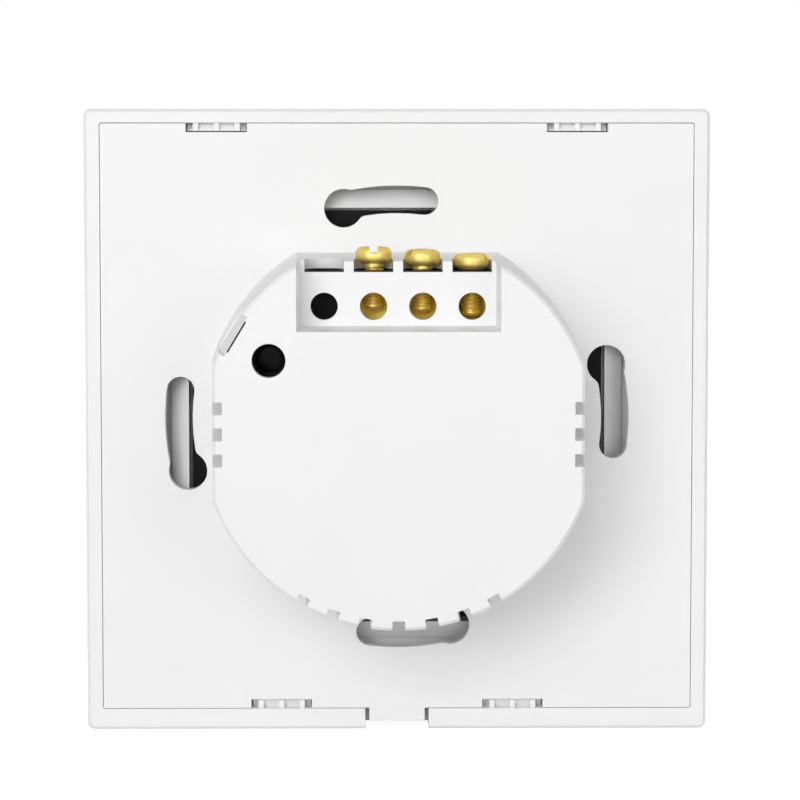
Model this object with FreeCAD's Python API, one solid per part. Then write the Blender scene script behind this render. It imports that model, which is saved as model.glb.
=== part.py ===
import FreeCAD
import Part
import math
import os

# Single touch wall switch with a round rear body, in millimetres.
# +X is to the right as seen from behind, +Z is up and +Y points to the front glass.
# The origin is the middle of the mounting plate's rear face, which lies on the wall.

# Front panel, the part that pulls off
PANEL_SIDE = 86.0
PANEL_CORNER = 1.0
PANEL_BEVEL = 0.4
RIM_SIDE = 2.15
RIM_TOP = 1.9
RIM_BOTTOM = 2.9
FRAME_DEPTH = 7.3
FRAME_FLOOR = 1.2
FRAME_WINDOW = 46.0
LEDGE_HIGH = 3.1
LEDGE_LOW = 1.4
LEDGE_WIDTH = 2.5
LEDGE_CLEAR = 0.4
ADHESIVE_THICK = 0.2
ADHESIVE_INSET = 0.6
ADHESIVE_BORDER = 4.0
GLASS_THICK = 2.5
GLASS_EDGE_BREAK = 0.5

# Mounting plate with its skirt wall
PLATE_GAP = 0.08
PLATE_THICK = 1.8
PLATE_CORNER = 0.25
SKIRT_WALL = 1.2
SKIRT_DEPTH = 3.3

# Snap windows in the plate's edge, and the frame's hooks and ribs in them
SNAP_TOP_X = 24.8
SNAP_BOTTOM_X = 16.06
SNAP_WIDTH = 8.4
SNAP_DEPTH = 1.2
SNAP_CLEAR = 0.15
SNAP_RIB_WIDTH = 0.75
SNAP_RIB_PITCH = 2.85
SNAP_RIB_SETBACK = 0.45
SNAP_ROOT = 0.5
HOOK_WIDTH = 6.05
HOOK_SETBACK = 0.7
HOOK_FALL = 1.3
HOOK_FOOT_SETBACK = 1.4

# Pry notch in the frame's bottom rim, and the plate's tab in it
PRY_WIDTH = 8.8
TAB_WIDTH = 7.7
TAB_REACH = 1.8

# Four curved mounting slots, each with a round lobe for a screw head
SLOT_RADIUS = 30.1
SLOT_WIDTH = 3.8
SLOT_END_ANGLE = 7.2
LOBE_RADIUS_POS = 29.8
LOBE_ANGLE = 14.3
LOBE_DIAMETER = 5.3
SLOT_BLEND = 1.2

# Round rear body, cut by two side flats and a top flat
BODY_DEPTH = 24.0
BODY_RADIUS = 26.7
FLAT_CUT = 1.2
TOP_CORNER = 1.0
ROUND_DRAFT = 2.4
SIDE_DRAFT = 3.2
TOP_DRAFT = 1.9
BODY_WALL = 1.8
TOP_WALL = 1.75
WELL_DEPTH = 2.0
REAR_WALL = 1.5
BODY_EDGE_BREAK = 0.4

# Vent grooves down the wall, from the rear face to the plate
VENT_WIDTH = 1.65
VENT_DEPTH = 1.25
SIDE_VENT_PITCH = 3.4
SIDE_VENT_COUNT = 3
BOTTOM_VENT_ANGLE = 10.0
BOTTOM_VENT_COUNT = 7

# Round hole in the rear face, in front of the reservoir capacitor
PEEP_BESIDE_BOSS = 1.35
PEEP_BELOW_BOSS = 5.9
PEEP_DIAMETER = 4.4

# Terminal pocket, open at the top
POCKET_DEPTH = 7.0
POCKET_HALF = 12.9
POCKET_FLOOR_DROP = 9.1
POCKET_DRAFT = 2.8
POCKET_WALL = 1.2
FACE_WALL = 1.2

# Four terminal positions, of which the first is left empty
CELL_COUNT = 4
CELL_PITCH = 6.5
CELL_WIDTH = 5.2
WIRE_DROP = 6.5
WIRE_HOLE = 3.6
SCREW_SETBACK = 3.85
HEAD_BORE = 5.05
BLOCK_FIT = 0.05
BLOCK_END_WALL = 0.35
BLOCK_BACK_WALL = 0.6
BLOCK_BELOW_CLAMP = 1.1

# Brass clamps and their screws
CLAMP_WIDTH = 5.0
CLAMP_DEPTH = 5.4
CLAMP_BORE = 4.0
CLAMP_BORE_DEPTH = 4.4
CLAMP_BORE_CONE = 0.6
CLAMP_BELOW_BORE = 0.6
CLAMP_ABOVE_BORE = 1.5
CLAMP_FIT = 0.05
SCREW_SHANK = 2.75
SCREW_RUNNING_FIT = 0.05
SCREW_LENGTH = 8.4
HEAD_DIAMETER = 4.8
HEAD_HEIGHT = 2.6
HEAD_NECK = 0.3
HEAD_WIDEST = 1.25
HEAD_ROUND = 0.85
HEAD_CROWN = 0.12
TIP_BREAK = 0.4
SLOT_CUT_WIDTH = 1.08
SLOT_CUT_DEPTH = 0.95
TIP_BELOW_WIRE = (0.55, 0.9, 1.43)
SCREW_TURN = (90.0, 35.0, 152.0)

# Power board and what stands on it
BOARD_STANDOFF = 17.5
POWER_BOARD_THICK = 1.6
BOARD_CLEAR = 0.35
RESERVOIR_DIAMETER = 4.2
RESERVOIR_HEIGHT = 16.9
RESERVOIR_COLLAR = 4.6
RESERVOIR_COLLAR_WALL = 0.2
RELAY_SIZE = (10.2, 15.6, 20.4)
RELAY_CORNER = (1.5, -16.0)
RELAY_EDGE = 0.5
CORE_SIZE = (11.0, 10.0, 11.5)
CORE_CORNER = (-12.6, -14.2)
WINDING_MARGIN = 1.9
WINDING_CLEAR = 0.1
FILM_SIZE = (9.5, 9.0, 4.6)
FILM_X = -12.4
FILM_BELOW_VARISTOR = 2.2
VARISTOR_DIAMETER = 7.0
VARISTOR_THICK = 3.2
VARISTOR_X = -8.6
VARISTOR_BELOW_BLOCK = 2.0
RESISTOR_DIAMETER = 3.2
RESISTOR_LENGTH = 8.5
RESISTOR_X = 16.4
BRIDGE_SIZE = (4.4, 2.6, 5.0)
BRIDGE_X = 14.6
BRIDGE_BELOW_BOSS = 0.5
LEAD_DIAMETER = 0.6
LEAD_STAND = 1.2
LEAD_REACH = 1.2
LEAD_CLEAR = 0.05
LEAD_BEND = 0.8

# Supports inside the rear body
BOSS_DIAMETER = 4.6
BOSS_CLEAR = 0.5
BOSS_SETBACK = 4.78
BOSS_PILOT = 1.6
BOSS_PILOT_DEPTH = 7.0
SUPPORT_THICK = 1.2
SUPPORT_REACH = 2.2
SUPPORT_ROOT = 0.5

# Carrier of the touch board, with its snap arm
CARRIER_SEAT = 0.9
CARRIER_BASE = 1.2
CARRIER_RIM = 1.2
CARRIER_WINDOW = (25.0, 31.0)
CARRIER_WINDOW_Z = 2.0
CARRIER_SCREW_HOLE = 2.2
CARRIER_SCREW_SHANK = 1.6
CARRIER_SCREW_HEAD = 3.2
CARRIER_SCREW_HEAD_HEIGHT = 1.0
CARRIER_SCREW_LENGTH = 6.0

# Snap arm of the carrier, its pocket in the wall, and the slit and lead-in behind it
LATCH_BESIDE_BOSS = 5.27
LATCH_WIDTH = 4.6
LATCH_THICK = 1.2
LATCH_GAP = 0.25
LATCH_NOSE = 0.8
LATCH_NOSE_LENGTH = 3.0
LATCH_POCKET_LENGTH = 5.5
LATCH_SLIT = 0.22
LATCH_SETBACK = 1.05
RECESS_WIDTH = 5.9
RECESS_STEP = 1.2
RECESS_DEPTH = 6.0

# Touch board and what it carries
TOUCH_BOARD_SIDE = 57.0
TOUCH_BOARD_THICK = 1.6
TOUCH_BOARD_Y = 4.3
TOUCH_BOARD_CORNER = 0.6
LOCATING_PIN = 1.8
LOCATING_PIN_SETBACK = 0.2
LOCATING_PIN_X = 21.0
LOCATING_CLEAR = 0.1
ELECTRODE_OUTER = 24.0
ELECTRODE_INNER = 17.0
ELECTRODE_THICK = 0.2
GUIDE_DIAMETER = 16.0
GUIDE_GAP = 0.1
GUIDE_POCKET = 9.0
GUIDE_ROOF = 0.5
LED_SIZE = 1.6
LED_HEIGHT = 0.7
LED_PITCH = 4.0
MODULE_SIZE = (18.0, 14.0)
MODULE_THICK = 0.8
MODULE_Z = 9.0
SHIELD_MARGIN = 1.0
SHIELD_ANTENNA_SIDE = 4.6
SHIELD_HEIGHT = 2.4

# Pin header on the power board and its socket on the touch board
PIN_COUNT = 8
PIN_PITCH = 2.54
PIN_SIDE = 0.64
PIN_CLEAR = 0.15
HEADER_WIDTH = 2.5
HEADER_HEIGHT = 2.5
HEADER_GAP = 0.2
HEADER_Z = -9.0
PIN_TAIL = 1.2

OVERCUT = 1.0

# Front panel and plate
PLATE_WIDTH = PANEL_SIDE - 2 * (RIM_SIDE + PLATE_GAP)
PLATE_HEIGHT = PANEL_SIDE - RIM_TOP - RIM_BOTTOM - 2 * PLATE_GAP
PANEL_DROP = (RIM_BOTTOM - RIM_TOP) / 2
TRAY_HALF_X = PLATE_WIDTH / 2 + PLATE_GAP
TRAY_HALF_Z = PLATE_HEIGHT / 2 + PLATE_GAP
SKIRT_FRONT_Y = PLATE_THICK + SKIRT_DEPTH
FRAME_FLOOR_Y = FRAME_DEPTH - FRAME_FLOOR
GLASS_Y = FRAME_DEPTH + ADHESIVE_THICK
FRONT_Y = GLASS_Y + GLASS_THICK
TOUCH_FRONT_Y = TOUCH_BOARD_Y + TOUCH_BOARD_THICK

# Rear body and terminal pocket
REAR_Y = -BODY_DEPTH
CAVITY_END_Y = REAR_Y + REAR_WALL
FACE_Y = REAR_Y + POCKET_DEPTH
FACE_BACK_Y = FACE_Y + FACE_WALL
BODY_FLAT = BODY_RADIUS - FLAT_CUT
BODY_TOP = math.sqrt(BODY_RADIUS ** 2 - (POCKET_HALF + TOP_CORNER) ** 2)
REAR_RADIUS = BODY_RADIUS - BODY_DEPTH * math.tan(math.radians(ROUND_DRAFT))
POCKET_FLOOR_Z = BODY_TOP - POCKET_FLOOR_DROP
WIRE_Z = BODY_TOP - WIRE_DROP
WELL_SILL_Z = BODY_TOP - WELL_DEPTH
TOP_INSIDE_Z = BODY_TOP - TOP_WALL

# Terminals
CELL_X = [(i - (CELL_COUNT - 1) / 2) * CELL_PITCH for i in range(CELL_COUNT)]
FITTED_X = CELL_X[1:]
SCREW_Y = FACE_Y + SCREW_SETBACK
SCREW_TIP_Z = [WIRE_Z - drop for drop in TIP_BELOW_WIRE]
CLAMP_FRONT_Y = FACE_BACK_Y + CLAMP_FIT
CLAMP_LOW_Z = WIRE_Z - CLAMP_BORE / 2 - CLAMP_BELOW_BORE
CLAMP_HIGH_Z = WIRE_Z + CLAMP_BORE / 2 + CLAMP_ABOVE_BORE
BLOCK_HALF = CELL_X[-1] + CELL_WIDTH / 2 + BLOCK_END_WALL
BLOCK_FRONT_Y = FACE_BACK_Y + BLOCK_FIT
BLOCK_BACK_Y = SCREW_Y + CELL_WIDTH / 2 + BLOCK_BACK_WALL
BLOCK_LOW_Z = CLAMP_LOW_Z - BLOCK_BELOW_CLAMP
BLOCK_HIGH_Z = TOP_INSIDE_Z - BLOCK_FIT

# Bosses, power board and what stands on it
BOSS_X = BLOCK_HALF + BOSS_CLEAR + BOSS_DIAMETER / 2
BOSS_Z = math.sqrt((BODY_RADIUS - BOSS_SETBACK) ** 2 - BOSS_X ** 2)
PEEP_X = -BOSS_X - PEEP_BESIDE_BOSS
PEEP_Z = BOSS_Z - PEEP_BELOW_BOSS
POWER_BOARD_Y = CAVITY_END_Y + BOARD_STANDOFF
BOARD_FRONT_Y = POWER_BOARD_Y + POWER_BOARD_THICK
VARISTOR_Z = BLOCK_LOW_Z - VARISTOR_BELOW_BLOCK - VARISTOR_THICK / 2
FILM_Z = VARISTOR_Z - VARISTOR_THICK / 2 - FILM_BELOW_VARISTOR - FILM_SIZE[2]
BRIDGE_Z = BOSS_Z - BOSS_DIAMETER / 2 - BRIDGE_BELOW_BOSS - BRIDGE_SIZE[2]
RESISTOR_Z = (BRIDGE_Z - BOSS_Z + BOSS_DIAMETER / 2) / 2

# Snap arm
LATCH_FROM_BOSS = math.asin(LATCH_BESIDE_BOSS / math.hypot(BOSS_X, BOSS_Z))
LATCH_ANGLE = math.degrees(math.atan2(BOSS_Z, BOSS_X) - LATCH_FROM_BOSS)
LATCH_WALL = REAR_RADIUS - LATCH_SETBACK


def vec(x, y, z):
    return FreeCAD.Vector(x, y, z)


def box(x0, x1, y0, y1, z0, z1):
    return Part.makeBox(x1 - x0, y1 - y0, z1 - z0, vec(x0, y0, z0))


def rod_y(x, z, diameter, y0, y1):
    return Part.makeCylinder(diameter / 2, y1 - y0, vec(x, y0, z), vec(0, 1, 0))


def rod_z(x, y, diameter, z0, z1):
    return Part.makeCylinder(diameter / 2, z1 - z0, vec(x, y, z0), vec(0, 0, 1))


def fuse(first, *others):
    return first.multiFuse(list(others)).removeSplitter()


def cut(solid, *tools):
    return solid.cut(list(tools))


def turned(shape, degrees):
    """The shape turned about the Y axis, anticlockwise as seen from behind."""
    copy = shape.copy()
    copy.rotate(vec(0, 0, 0), vec(0, -1, 0), degrees)
    return copy


def rounded_slab(x0, x1, z0, z1, y0, y1, radius):
    """A rectangle in X and Z with rounded corners, from y0 to y1."""
    slab = box(x0, x1, y0, y1, z0, z1)
    upright = [e for e in slab.Edges if abs(e.tangentAt(e.FirstParameter).y) > 0.99]
    return slab.makeFillet(radius, upright)


def body_wire(y, inset):
    """The rear body's outline at depth y: arcs of one circle joined by flats."""
    radius = BODY_RADIUS + y * math.tan(math.radians(ROUND_DRAFT)) - inset
    flat = BODY_FLAT + y * math.tan(math.radians(SIDE_DRAFT)) - inset
    top = BODY_TOP + y * math.tan(math.radians(TOP_DRAFT)) - inset
    top_x = math.sqrt(radius ** 2 - top ** 2)
    flat_z = math.sqrt(radius ** 2 - flat ** 2)
    middle = (math.atan2(top, top_x) + math.atan2(flat_z, flat)) / 2
    arc_x = radius * math.cos(middle)
    arc_z = radius * math.sin(middle)
    edges = [
        Part.makeLine(vec(-top_x, y, top), vec(top_x, y, top)),
        Part.Arc(vec(top_x, y, top), vec(arc_x, y, arc_z), vec(flat, y, flat_z)).toShape(),
        Part.makeLine(vec(flat, y, flat_z), vec(flat, y, -flat_z)),
        Part.Arc(vec(flat, y, -flat_z), vec(0, y, -radius), vec(-flat, y, -flat_z)).toShape(),
        Part.makeLine(vec(-flat, y, -flat_z), vec(-flat, y, flat_z)),
        Part.Arc(vec(-flat, y, flat_z), vec(-arc_x, y, arc_z), vec(-top_x, y, top)).toShape(),
    ]
    return Part.Wire(edges)


def body_loft(levels):
    """A solid through the body's outline at each (y, inset) pair."""
    return Part.makeLoft([body_wire(y, inset) for y, inset in levels], True, True)


def body_slab(y0, y1, inset):
    """A slab with straight sides and the body's outline at y0."""
    return Part.Face(body_wire(y0, inset)).extrude(vec(0, y1 - y0, 0))


def frame_box(y0, y1, inset):
    """The front panel's square outline from y0 to y1, drawn in by inset."""
    half = PANEL_SIDE / 2 - inset
    return rounded_slab(-half, half, -half - PANEL_DROP, half - PANEL_DROP, y0, y1, PANEL_CORNER)


def snap_places():
    """Centre X and side of each snap window: +1 is the top edge, -1 the bottom."""
    places = [(sign * SNAP_TOP_X, 1) for sign in (-1, 1)]
    places += [(sign * SNAP_BOTTOM_X, -1) for sign in (-1, 1)]
    return places


def glass_panel():
    glass = frame_box(GLASS_Y, FRONT_Y, 0)
    front = [e for e in glass.Edges if e.BoundBox.YMin > FRONT_Y - 0.01]
    return glass.makeChamfer(GLASS_EDGE_BREAK, front)


def glass_adhesive():
    outer = frame_box(FRAME_DEPTH, GLASS_Y, ADHESIVE_INSET)
    hole = frame_box(FRAME_DEPTH - OVERCUT, GLASS_Y + OVERCUT, ADHESIVE_INSET + ADHESIVE_BORDER)
    return cut(outer, hole)


def snap_hook(centre, side):
    """Sloping hook with three ribs across it and a wider foot, in one snap window."""
    inner = side * (PLATE_HEIGHT / 2 - SNAP_DEPTH + SNAP_CLEAR)
    root = side * (TRAY_HALF_Z + SNAP_ROOT)
    end_y = FRAME_FLOOR_Y + SNAP_ROOT
    pieces = []
    for width, setback in ((HOOK_WIDTH, HOOK_SETBACK), (SNAP_WIDTH - 2 * SNAP_CLEAR, HOOK_FOOT_SETBACK)):
        left = centre - width / 2
        profile = [vec(left, setback, inner), vec(left, setback + HOOK_FALL, root),
                   vec(left, end_y, root), vec(left, end_y, inner)]
        pieces.append(Part.Face(Part.makePolygon(profile + profile[:1])).extrude(vec(width, 0, 0)))
    low, high = sorted((inner, root))
    for step in (-1, 0, 1):
        x = centre + step * SNAP_RIB_PITCH - SNAP_RIB_WIDTH / 2
        pieces.append(box(x, x + SNAP_RIB_WIDTH, SNAP_RIB_SETBACK, end_y, low, high))
    return pieces


def square_wire(half, y):
    corners = [vec(-half, y, -half), vec(half, y, -half), vec(half, y, half), vec(-half, y, half)]
    return Part.makePolygon(corners + corners[:1])


def frame_ledge():
    """Ledge on the frame's floor round the touch board, sloping away from the board."""
    opening = TOUCH_BOARD_SIDE / 2 + LEDGE_CLEAR
    outer = opening + LEDGE_WIDTH
    low_y = FRAME_FLOOR_Y - LEDGE_LOW
    high_y = FRAME_FLOOR_Y - LEDGE_HIGH
    foot = box(-outer, outer, low_y, FRAME_FLOOR_Y, -outer, outer)
    slope = Part.makeLoft([square_wire(outer, low_y), square_wire(opening, high_y)], True, True)
    return cut(fuse(foot, slope), box(-opening, opening, high_y - OVERCUT, FRAME_DEPTH, -opening, opening))


def panel_frame():
    frame = frame_box(0, FRAME_DEPTH, 0)
    rear = [e for e in frame.Edges if e.BoundBox.YMax < 0.01]
    frame = frame.makeChamfer(PANEL_BEVEL, rear)
    tray = rounded_slab(-TRAY_HALF_X, TRAY_HALF_X, -TRAY_HALF_Z, TRAY_HALF_Z,
                        -OVERCUT, FRAME_FLOOR_Y, PLATE_CORNER + PLATE_GAP)
    half = FRAME_WINDOW / 2
    window = box(-half, half, 0, FRAME_DEPTH + OVERCUT, -half, half)
    low = -PANEL_SIDE / 2 - PANEL_DROP
    notch = box(-PRY_WIDTH / 2, PRY_WIDTH / 2, -OVERCUT, FRAME_FLOOR_Y,
                low - OVERCUT, -TRAY_HALF_Z + OVERCUT)
    frame = cut(frame, tray, window, notch)
    hooks = [piece for centre, side in snap_places() for piece in snap_hook(centre, side)]
    return fuse(frame, frame_ledge(), *hooks)


def slot_cutter():
    """The top slot: a curved slot with a narrow round end and a wide round lobe."""
    y0 = -OVERCUT
    y1 = PLATE_THICK + OVERCUT
    outer = rod_y(0, 0, 2 * SLOT_RADIUS + SLOT_WIDTH, y0, y1)
    inner = rod_y(0, 0, 2 * SLOT_RADIUS - SLOT_WIDTH, y0 - OVERCUT, y1 + OVERCUT)
    ring = outer.cut(inner)
    reach = 2 * SLOT_RADIUS
    end = math.radians(SLOT_END_ANGLE)
    lobe = math.radians(LOBE_ANGLE)
    corner_right = vec(reach * math.sin(end), y0, reach * math.cos(end))
    corner_left = vec(-reach * math.sin(lobe), y0, reach * math.cos(lobe))
    wedge = Part.Face(Part.makePolygon([vec(0, y0, 0), corner_right, corner_left, vec(0, y0, 0)]))
    curved = ring.common(wedge.extrude(vec(0, y1 - y0, 0)))
    narrow = rod_y(SLOT_RADIUS * math.sin(end), SLOT_RADIUS * math.cos(end), SLOT_WIDTH, y0, y1)
    wide_x = -LOBE_RADIUS_POS * math.sin(lobe)
    wide_z = LOBE_RADIUS_POS * math.cos(lobe)
    wide = rod_y(wide_x, wide_z, LOBE_DIAMETER, y0, y1)
    slot = fuse(curved, narrow, wide)
    junctions = []
    for edge in slot.Edges:
        middle = edge.CenterOfMass
        reach = math.hypot(middle.x - wide_x, middle.z - wide_z)
        upright = edge.BoundBox.YLength > PLATE_THICK
        if upright and abs(reach - LOBE_DIAMETER / 2) < 0.01 and not edge.isSeam(face_of(slot, edge)):
            junctions.append(edge)
    return slot.makeFillet(SLOT_BLEND, junctions)


def face_of(shape, edge):
    """One of the faces that an edge bounds."""
    return shape.ancestorsOfType(edge, Part.Face)[0]


def mounting_plate():
    """The flat plate with its skirt wall, tab, snap windows and mounting slots."""
    half_x = PLATE_WIDTH / 2
    half_z = PLATE_HEIGHT / 2
    plate = rounded_slab(-half_x, half_x, -half_z, half_z, 0, SKIRT_FRONT_Y, PLATE_CORNER)
    inner_x = half_x - SKIRT_WALL
    inner_z = half_z - SKIRT_WALL
    hollow = box(-inner_x, inner_x, PLATE_THICK, SKIRT_FRONT_Y + OVERCUT, -inner_z, inner_z)
    tab = box(-TAB_WIDTH / 2, TAB_WIDTH / 2, 0, PLATE_THICK, -half_z - TAB_REACH, -half_z + OVERCUT)
    plate = fuse(cut(plate, hollow), tab)
    cutters = []
    for centre, side in snap_places():
        ends = sorted((side * (half_z - SNAP_DEPTH), side * (half_z + OVERCUT)))
        cutters.append(box(centre - SNAP_WIDTH / 2, centre + SNAP_WIDTH / 2,
                           -OVERCUT, SKIRT_FRONT_Y + OVERCUT, ends[0], ends[1]))
    slot = slot_cutter()
    cutters += [turned(slot, 90 * quarter) for quarter in range(4)]
    return cut(plate, *cutters)


def pocket_cutter():
    """The terminal pocket, widening towards the rear face."""
    slope = math.tan(math.radians(POCKET_DRAFT))
    wires = []
    for y in (REAR_Y - OVERCUT, FACE_Y):
        grow = (FACE_Y - y) * slope
        half = POCKET_HALF + grow
        low = POCKET_FLOOR_Z - grow
        high = BODY_TOP + OVERCUT
        wires.append(Part.makePolygon([vec(-half, y, low), vec(half, y, low), vec(half, y, high),
                                       vec(-half, y, high), vec(-half, y, low)]))
    return Part.makeLoft(wires, True, True)


def body_cavity():
    """The hollow of the rear body, clear of the walls round the terminal pocket."""
    cavity = body_loft([(PLATE_THICK + OVERCUT, BODY_WALL), (CAVITY_END_Y, BODY_WALL)])
    grow = POCKET_DEPTH * math.tan(math.radians(POCKET_DRAFT))
    half = POCKET_HALF + grow + POCKET_WALL
    pocket_walls = box(-half, half, REAR_Y, FACE_BACK_Y,
                       POCKET_FLOOR_Z - grow - POCKET_WALL, BODY_TOP + OVERCUT)
    top_wall = box(-BODY_RADIUS, BODY_RADIUS, REAR_Y, PLATE_THICK + 2 * OVERCUT,
                   TOP_INSIDE_Z, BODY_TOP + OVERCUT)
    return cut(cavity, pocket_walls, top_wall)


def terminal_cutters():
    """The block's room, the wire holes and the screw wells, open at the top with a round back."""
    room = BLOCK_HALF + BLOCK_FIT
    cutters = [box(-room, room, FACE_BACK_Y, PLATE_THICK + OVERCUT, WIRE_Z, TOP_INSIDE_Z)]
    high = BODY_TOP + OVERCUT
    half = CELL_WIDTH / 2
    for x in CELL_X:
        cutters.append(rod_y(x, WIRE_Z, WIRE_HOLE, FACE_Y - OVERCUT, FACE_BACK_Y + OVERCUT))
        mouth = box(x - half, x + half, FACE_Y - OVERCUT, SCREW_Y, WELL_SILL_Z, high)
        cutters.append(mouth.fuse(rod_z(x, SCREW_Y, CELL_WIDTH, WELL_SILL_Z, high)))
    return cutters


def vent_cutter(wall, draft, across):
    """One groove down the wall that stands this far below the axis at the plate."""
    slope = math.tan(math.radians(draft))
    left = across - VENT_WIDTH / 2
    far_y = REAR_Y - OVERCUT
    profile = [
        vec(left, 0, VENT_DEPTH - wall),
        vec(left, far_y, VENT_DEPTH - wall - far_y * slope),
        vec(left, far_y, -wall - OVERCUT),
        vec(left, 0, -wall - OVERCUT),
    ]
    return Part.Face(Part.makePolygon(profile + profile[:1])).extrude(vec(VENT_WIDTH, 0, 0))


def vent_cutters():
    """Grooves of one depth down both flats and down the round wall at the bottom."""
    cutters = []
    for step in range(SIDE_VENT_COUNT):
        groove = vent_cutter(BODY_FLAT, SIDE_DRAFT, (step - (SIDE_VENT_COUNT - 1) / 2) * SIDE_VENT_PITCH)
        cutters += [turned(groove, 90), turned(groove, -90)]
    for step in range(BOTTOM_VENT_COUNT):
        angle = (step - (BOTTOM_VENT_COUNT - 1) / 2) * BOTTOM_VENT_ANGLE
        cutters.append(turned(vent_cutter(BODY_RADIUS, ROUND_DRAFT, 0), angle))
    return cutters


def latch_turn(shape):
    """A shape drawn to the left of the axis, turned up to the latch's place."""
    return turned(shape, -LATCH_ANGLE)


def latch_cutters():
    """Pocket for the arm's nose, the slit behind it and the sloping recess beside the slit."""
    half = LATCH_WIDTH / 2
    inside = REAR_RADIUS - BODY_WALL - OVERCUT
    pocket = box(-LATCH_WALL, -inside, CAVITY_END_Y, REAR_Y + LATCH_POCKET_LENGTH,
                 -half - LATCH_GAP, half + LATCH_GAP)
    slit = box(-LATCH_WALL, -LATCH_WALL + LATCH_SLIT, REAR_Y - OVERCUT, CAVITY_END_Y + OVERCUT,
               -half, half)
    outer = BODY_RADIUS + OVERCUT
    side = RECESS_WIDTH / 2
    profile = [
        vec(-LATCH_WALL, REAR_Y - OVERCUT, -side),
        vec(-LATCH_WALL, REAR_Y + RECESS_STEP, -side),
        vec(-REAR_RADIUS, REAR_Y + RECESS_DEPTH, -side),
        vec(-outer, REAR_Y + RECESS_DEPTH, -side),
        vec(-outer, REAR_Y - OVERCUT, -side),
    ]
    recess = Part.Face(Part.makePolygon(profile + profile[:1])).extrude(vec(0, 0, RECESS_WIDTH))
    return [latch_turn(pocket), latch_turn(slit), latch_turn(recess)]


def boss_places():
    return [(sx * BOSS_X, sz * BOSS_Z) for sx in (-1, 1) for sz in (-1, 1)]


def inner_supports():
    """Screw bosses and the short ribs that the power board rests on."""
    low_y = CAVITY_END_Y - SUPPORT_ROOT
    pieces = []
    for x, z in boss_places():
        pieces.append(rod_y(x, z, BOSS_DIAMETER, low_y, PLATE_THICK))
    half = SUPPORT_THICK / 2
    flat = BODY_FLAT - BODY_WALL
    for side in (-1, 1):
        ends = sorted((side * (flat - SUPPORT_REACH), side * (flat + SUPPORT_ROOT)))
        for z in (-SIDE_VENT_PITCH / 2, SIDE_VENT_PITCH / 2):
            pieces.append(box(ends[0], ends[1], low_y, POWER_BOARD_Y, z - half, z + half))
    low = BODY_RADIUS - BODY_WALL
    pieces.append(box(-half, half, low_y, POWER_BOARD_Y, -low - SUPPORT_ROOT, -low + SUPPORT_REACH))
    return pieces


def back_shell():
    """Mounting plate and rear body, one moulding."""
    body = body_loft([(0, 0), (REAR_Y + BODY_EDGE_BREAK, 0), (REAR_Y, BODY_EDGE_BREAK)])
    shell = fuse(mounting_plate(), body)
    shell = cut(shell, body_cavity())
    keep = body_loft([(PLATE_THICK, 0), (REAR_Y + BODY_EDGE_BREAK, 0)])
    supports = [piece.common(keep) for piece in inner_supports()]
    shell = fuse(shell, *supports)
    pilots = [rod_y(x, z, BOSS_PILOT, PLATE_THICK - BOSS_PILOT_DEPTH, PLATE_THICK + OVERCUT)
              for x, z in boss_places()]
    peep = rod_y(PEEP_X, PEEP_Z, PEEP_DIAMETER, REAR_Y - OVERCUT, CAVITY_END_Y + OVERCUT)
    return cut(shell, pocket_cutter(), peep, *latch_cutters(),
               *pilots, *terminal_cutters(), *vent_cutters())


def terminal_block():
    """Insulating block with a chamber and a screw bore for each terminal position."""
    tower = box(-BLOCK_HALF, BLOCK_HALF, BLOCK_FRONT_Y, BLOCK_BACK_Y, BLOCK_LOW_Z, BLOCK_HIGH_Z)
    foot = box(-BLOCK_HALF, BLOCK_HALF, BLOCK_FRONT_Y, POWER_BOARD_Y, BLOCK_LOW_Z, CLAMP_HIGH_Z)
    cutters = []
    for x in CELL_X:
        half = CLAMP_WIDTH / 2 + CLAMP_FIT
        cutters.append(box(x - half, x + half, BLOCK_FRONT_Y - OVERCUT,
                           CLAMP_FRONT_Y + CLAMP_DEPTH + CLAMP_FIT,
                           CLAMP_LOW_Z - CLAMP_FIT, CLAMP_HIGH_Z + CLAMP_FIT))
        cutters.append(rod_z(x, SCREW_Y, HEAD_BORE, WIRE_Z, BLOCK_HIGH_Z + OVERCUT))
    return cut(fuse(tower, foot), *cutters)


def terminal_clamp(x):
    """Brass block with a blind bore for the wire and a tapped hole for the screw."""
    block = box(x - CLAMP_WIDTH / 2, x + CLAMP_WIDTH / 2, CLAMP_FRONT_Y, CLAMP_FRONT_Y + CLAMP_DEPTH,
                CLAMP_LOW_Z, CLAMP_HIGH_Z)
    end_y = CLAMP_FRONT_Y + CLAMP_BORE_DEPTH
    wire = rod_y(x, WIRE_Z, CLAMP_BORE, CLAMP_FRONT_Y - OVERCUT, end_y)
    point = Part.makeCone(CLAMP_BORE / 2, 0, CLAMP_BORE_CONE, vec(x, end_y, WIRE_Z), vec(0, 1, 0))
    tapped = rod_z(x, SCREW_Y, SCREW_SHANK + 2 * SCREW_RUNNING_FIT, WIRE_Z, CLAMP_HIGH_Z + OVERCUT)
    return cut(block, wire.fuse(point), tapped)


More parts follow.
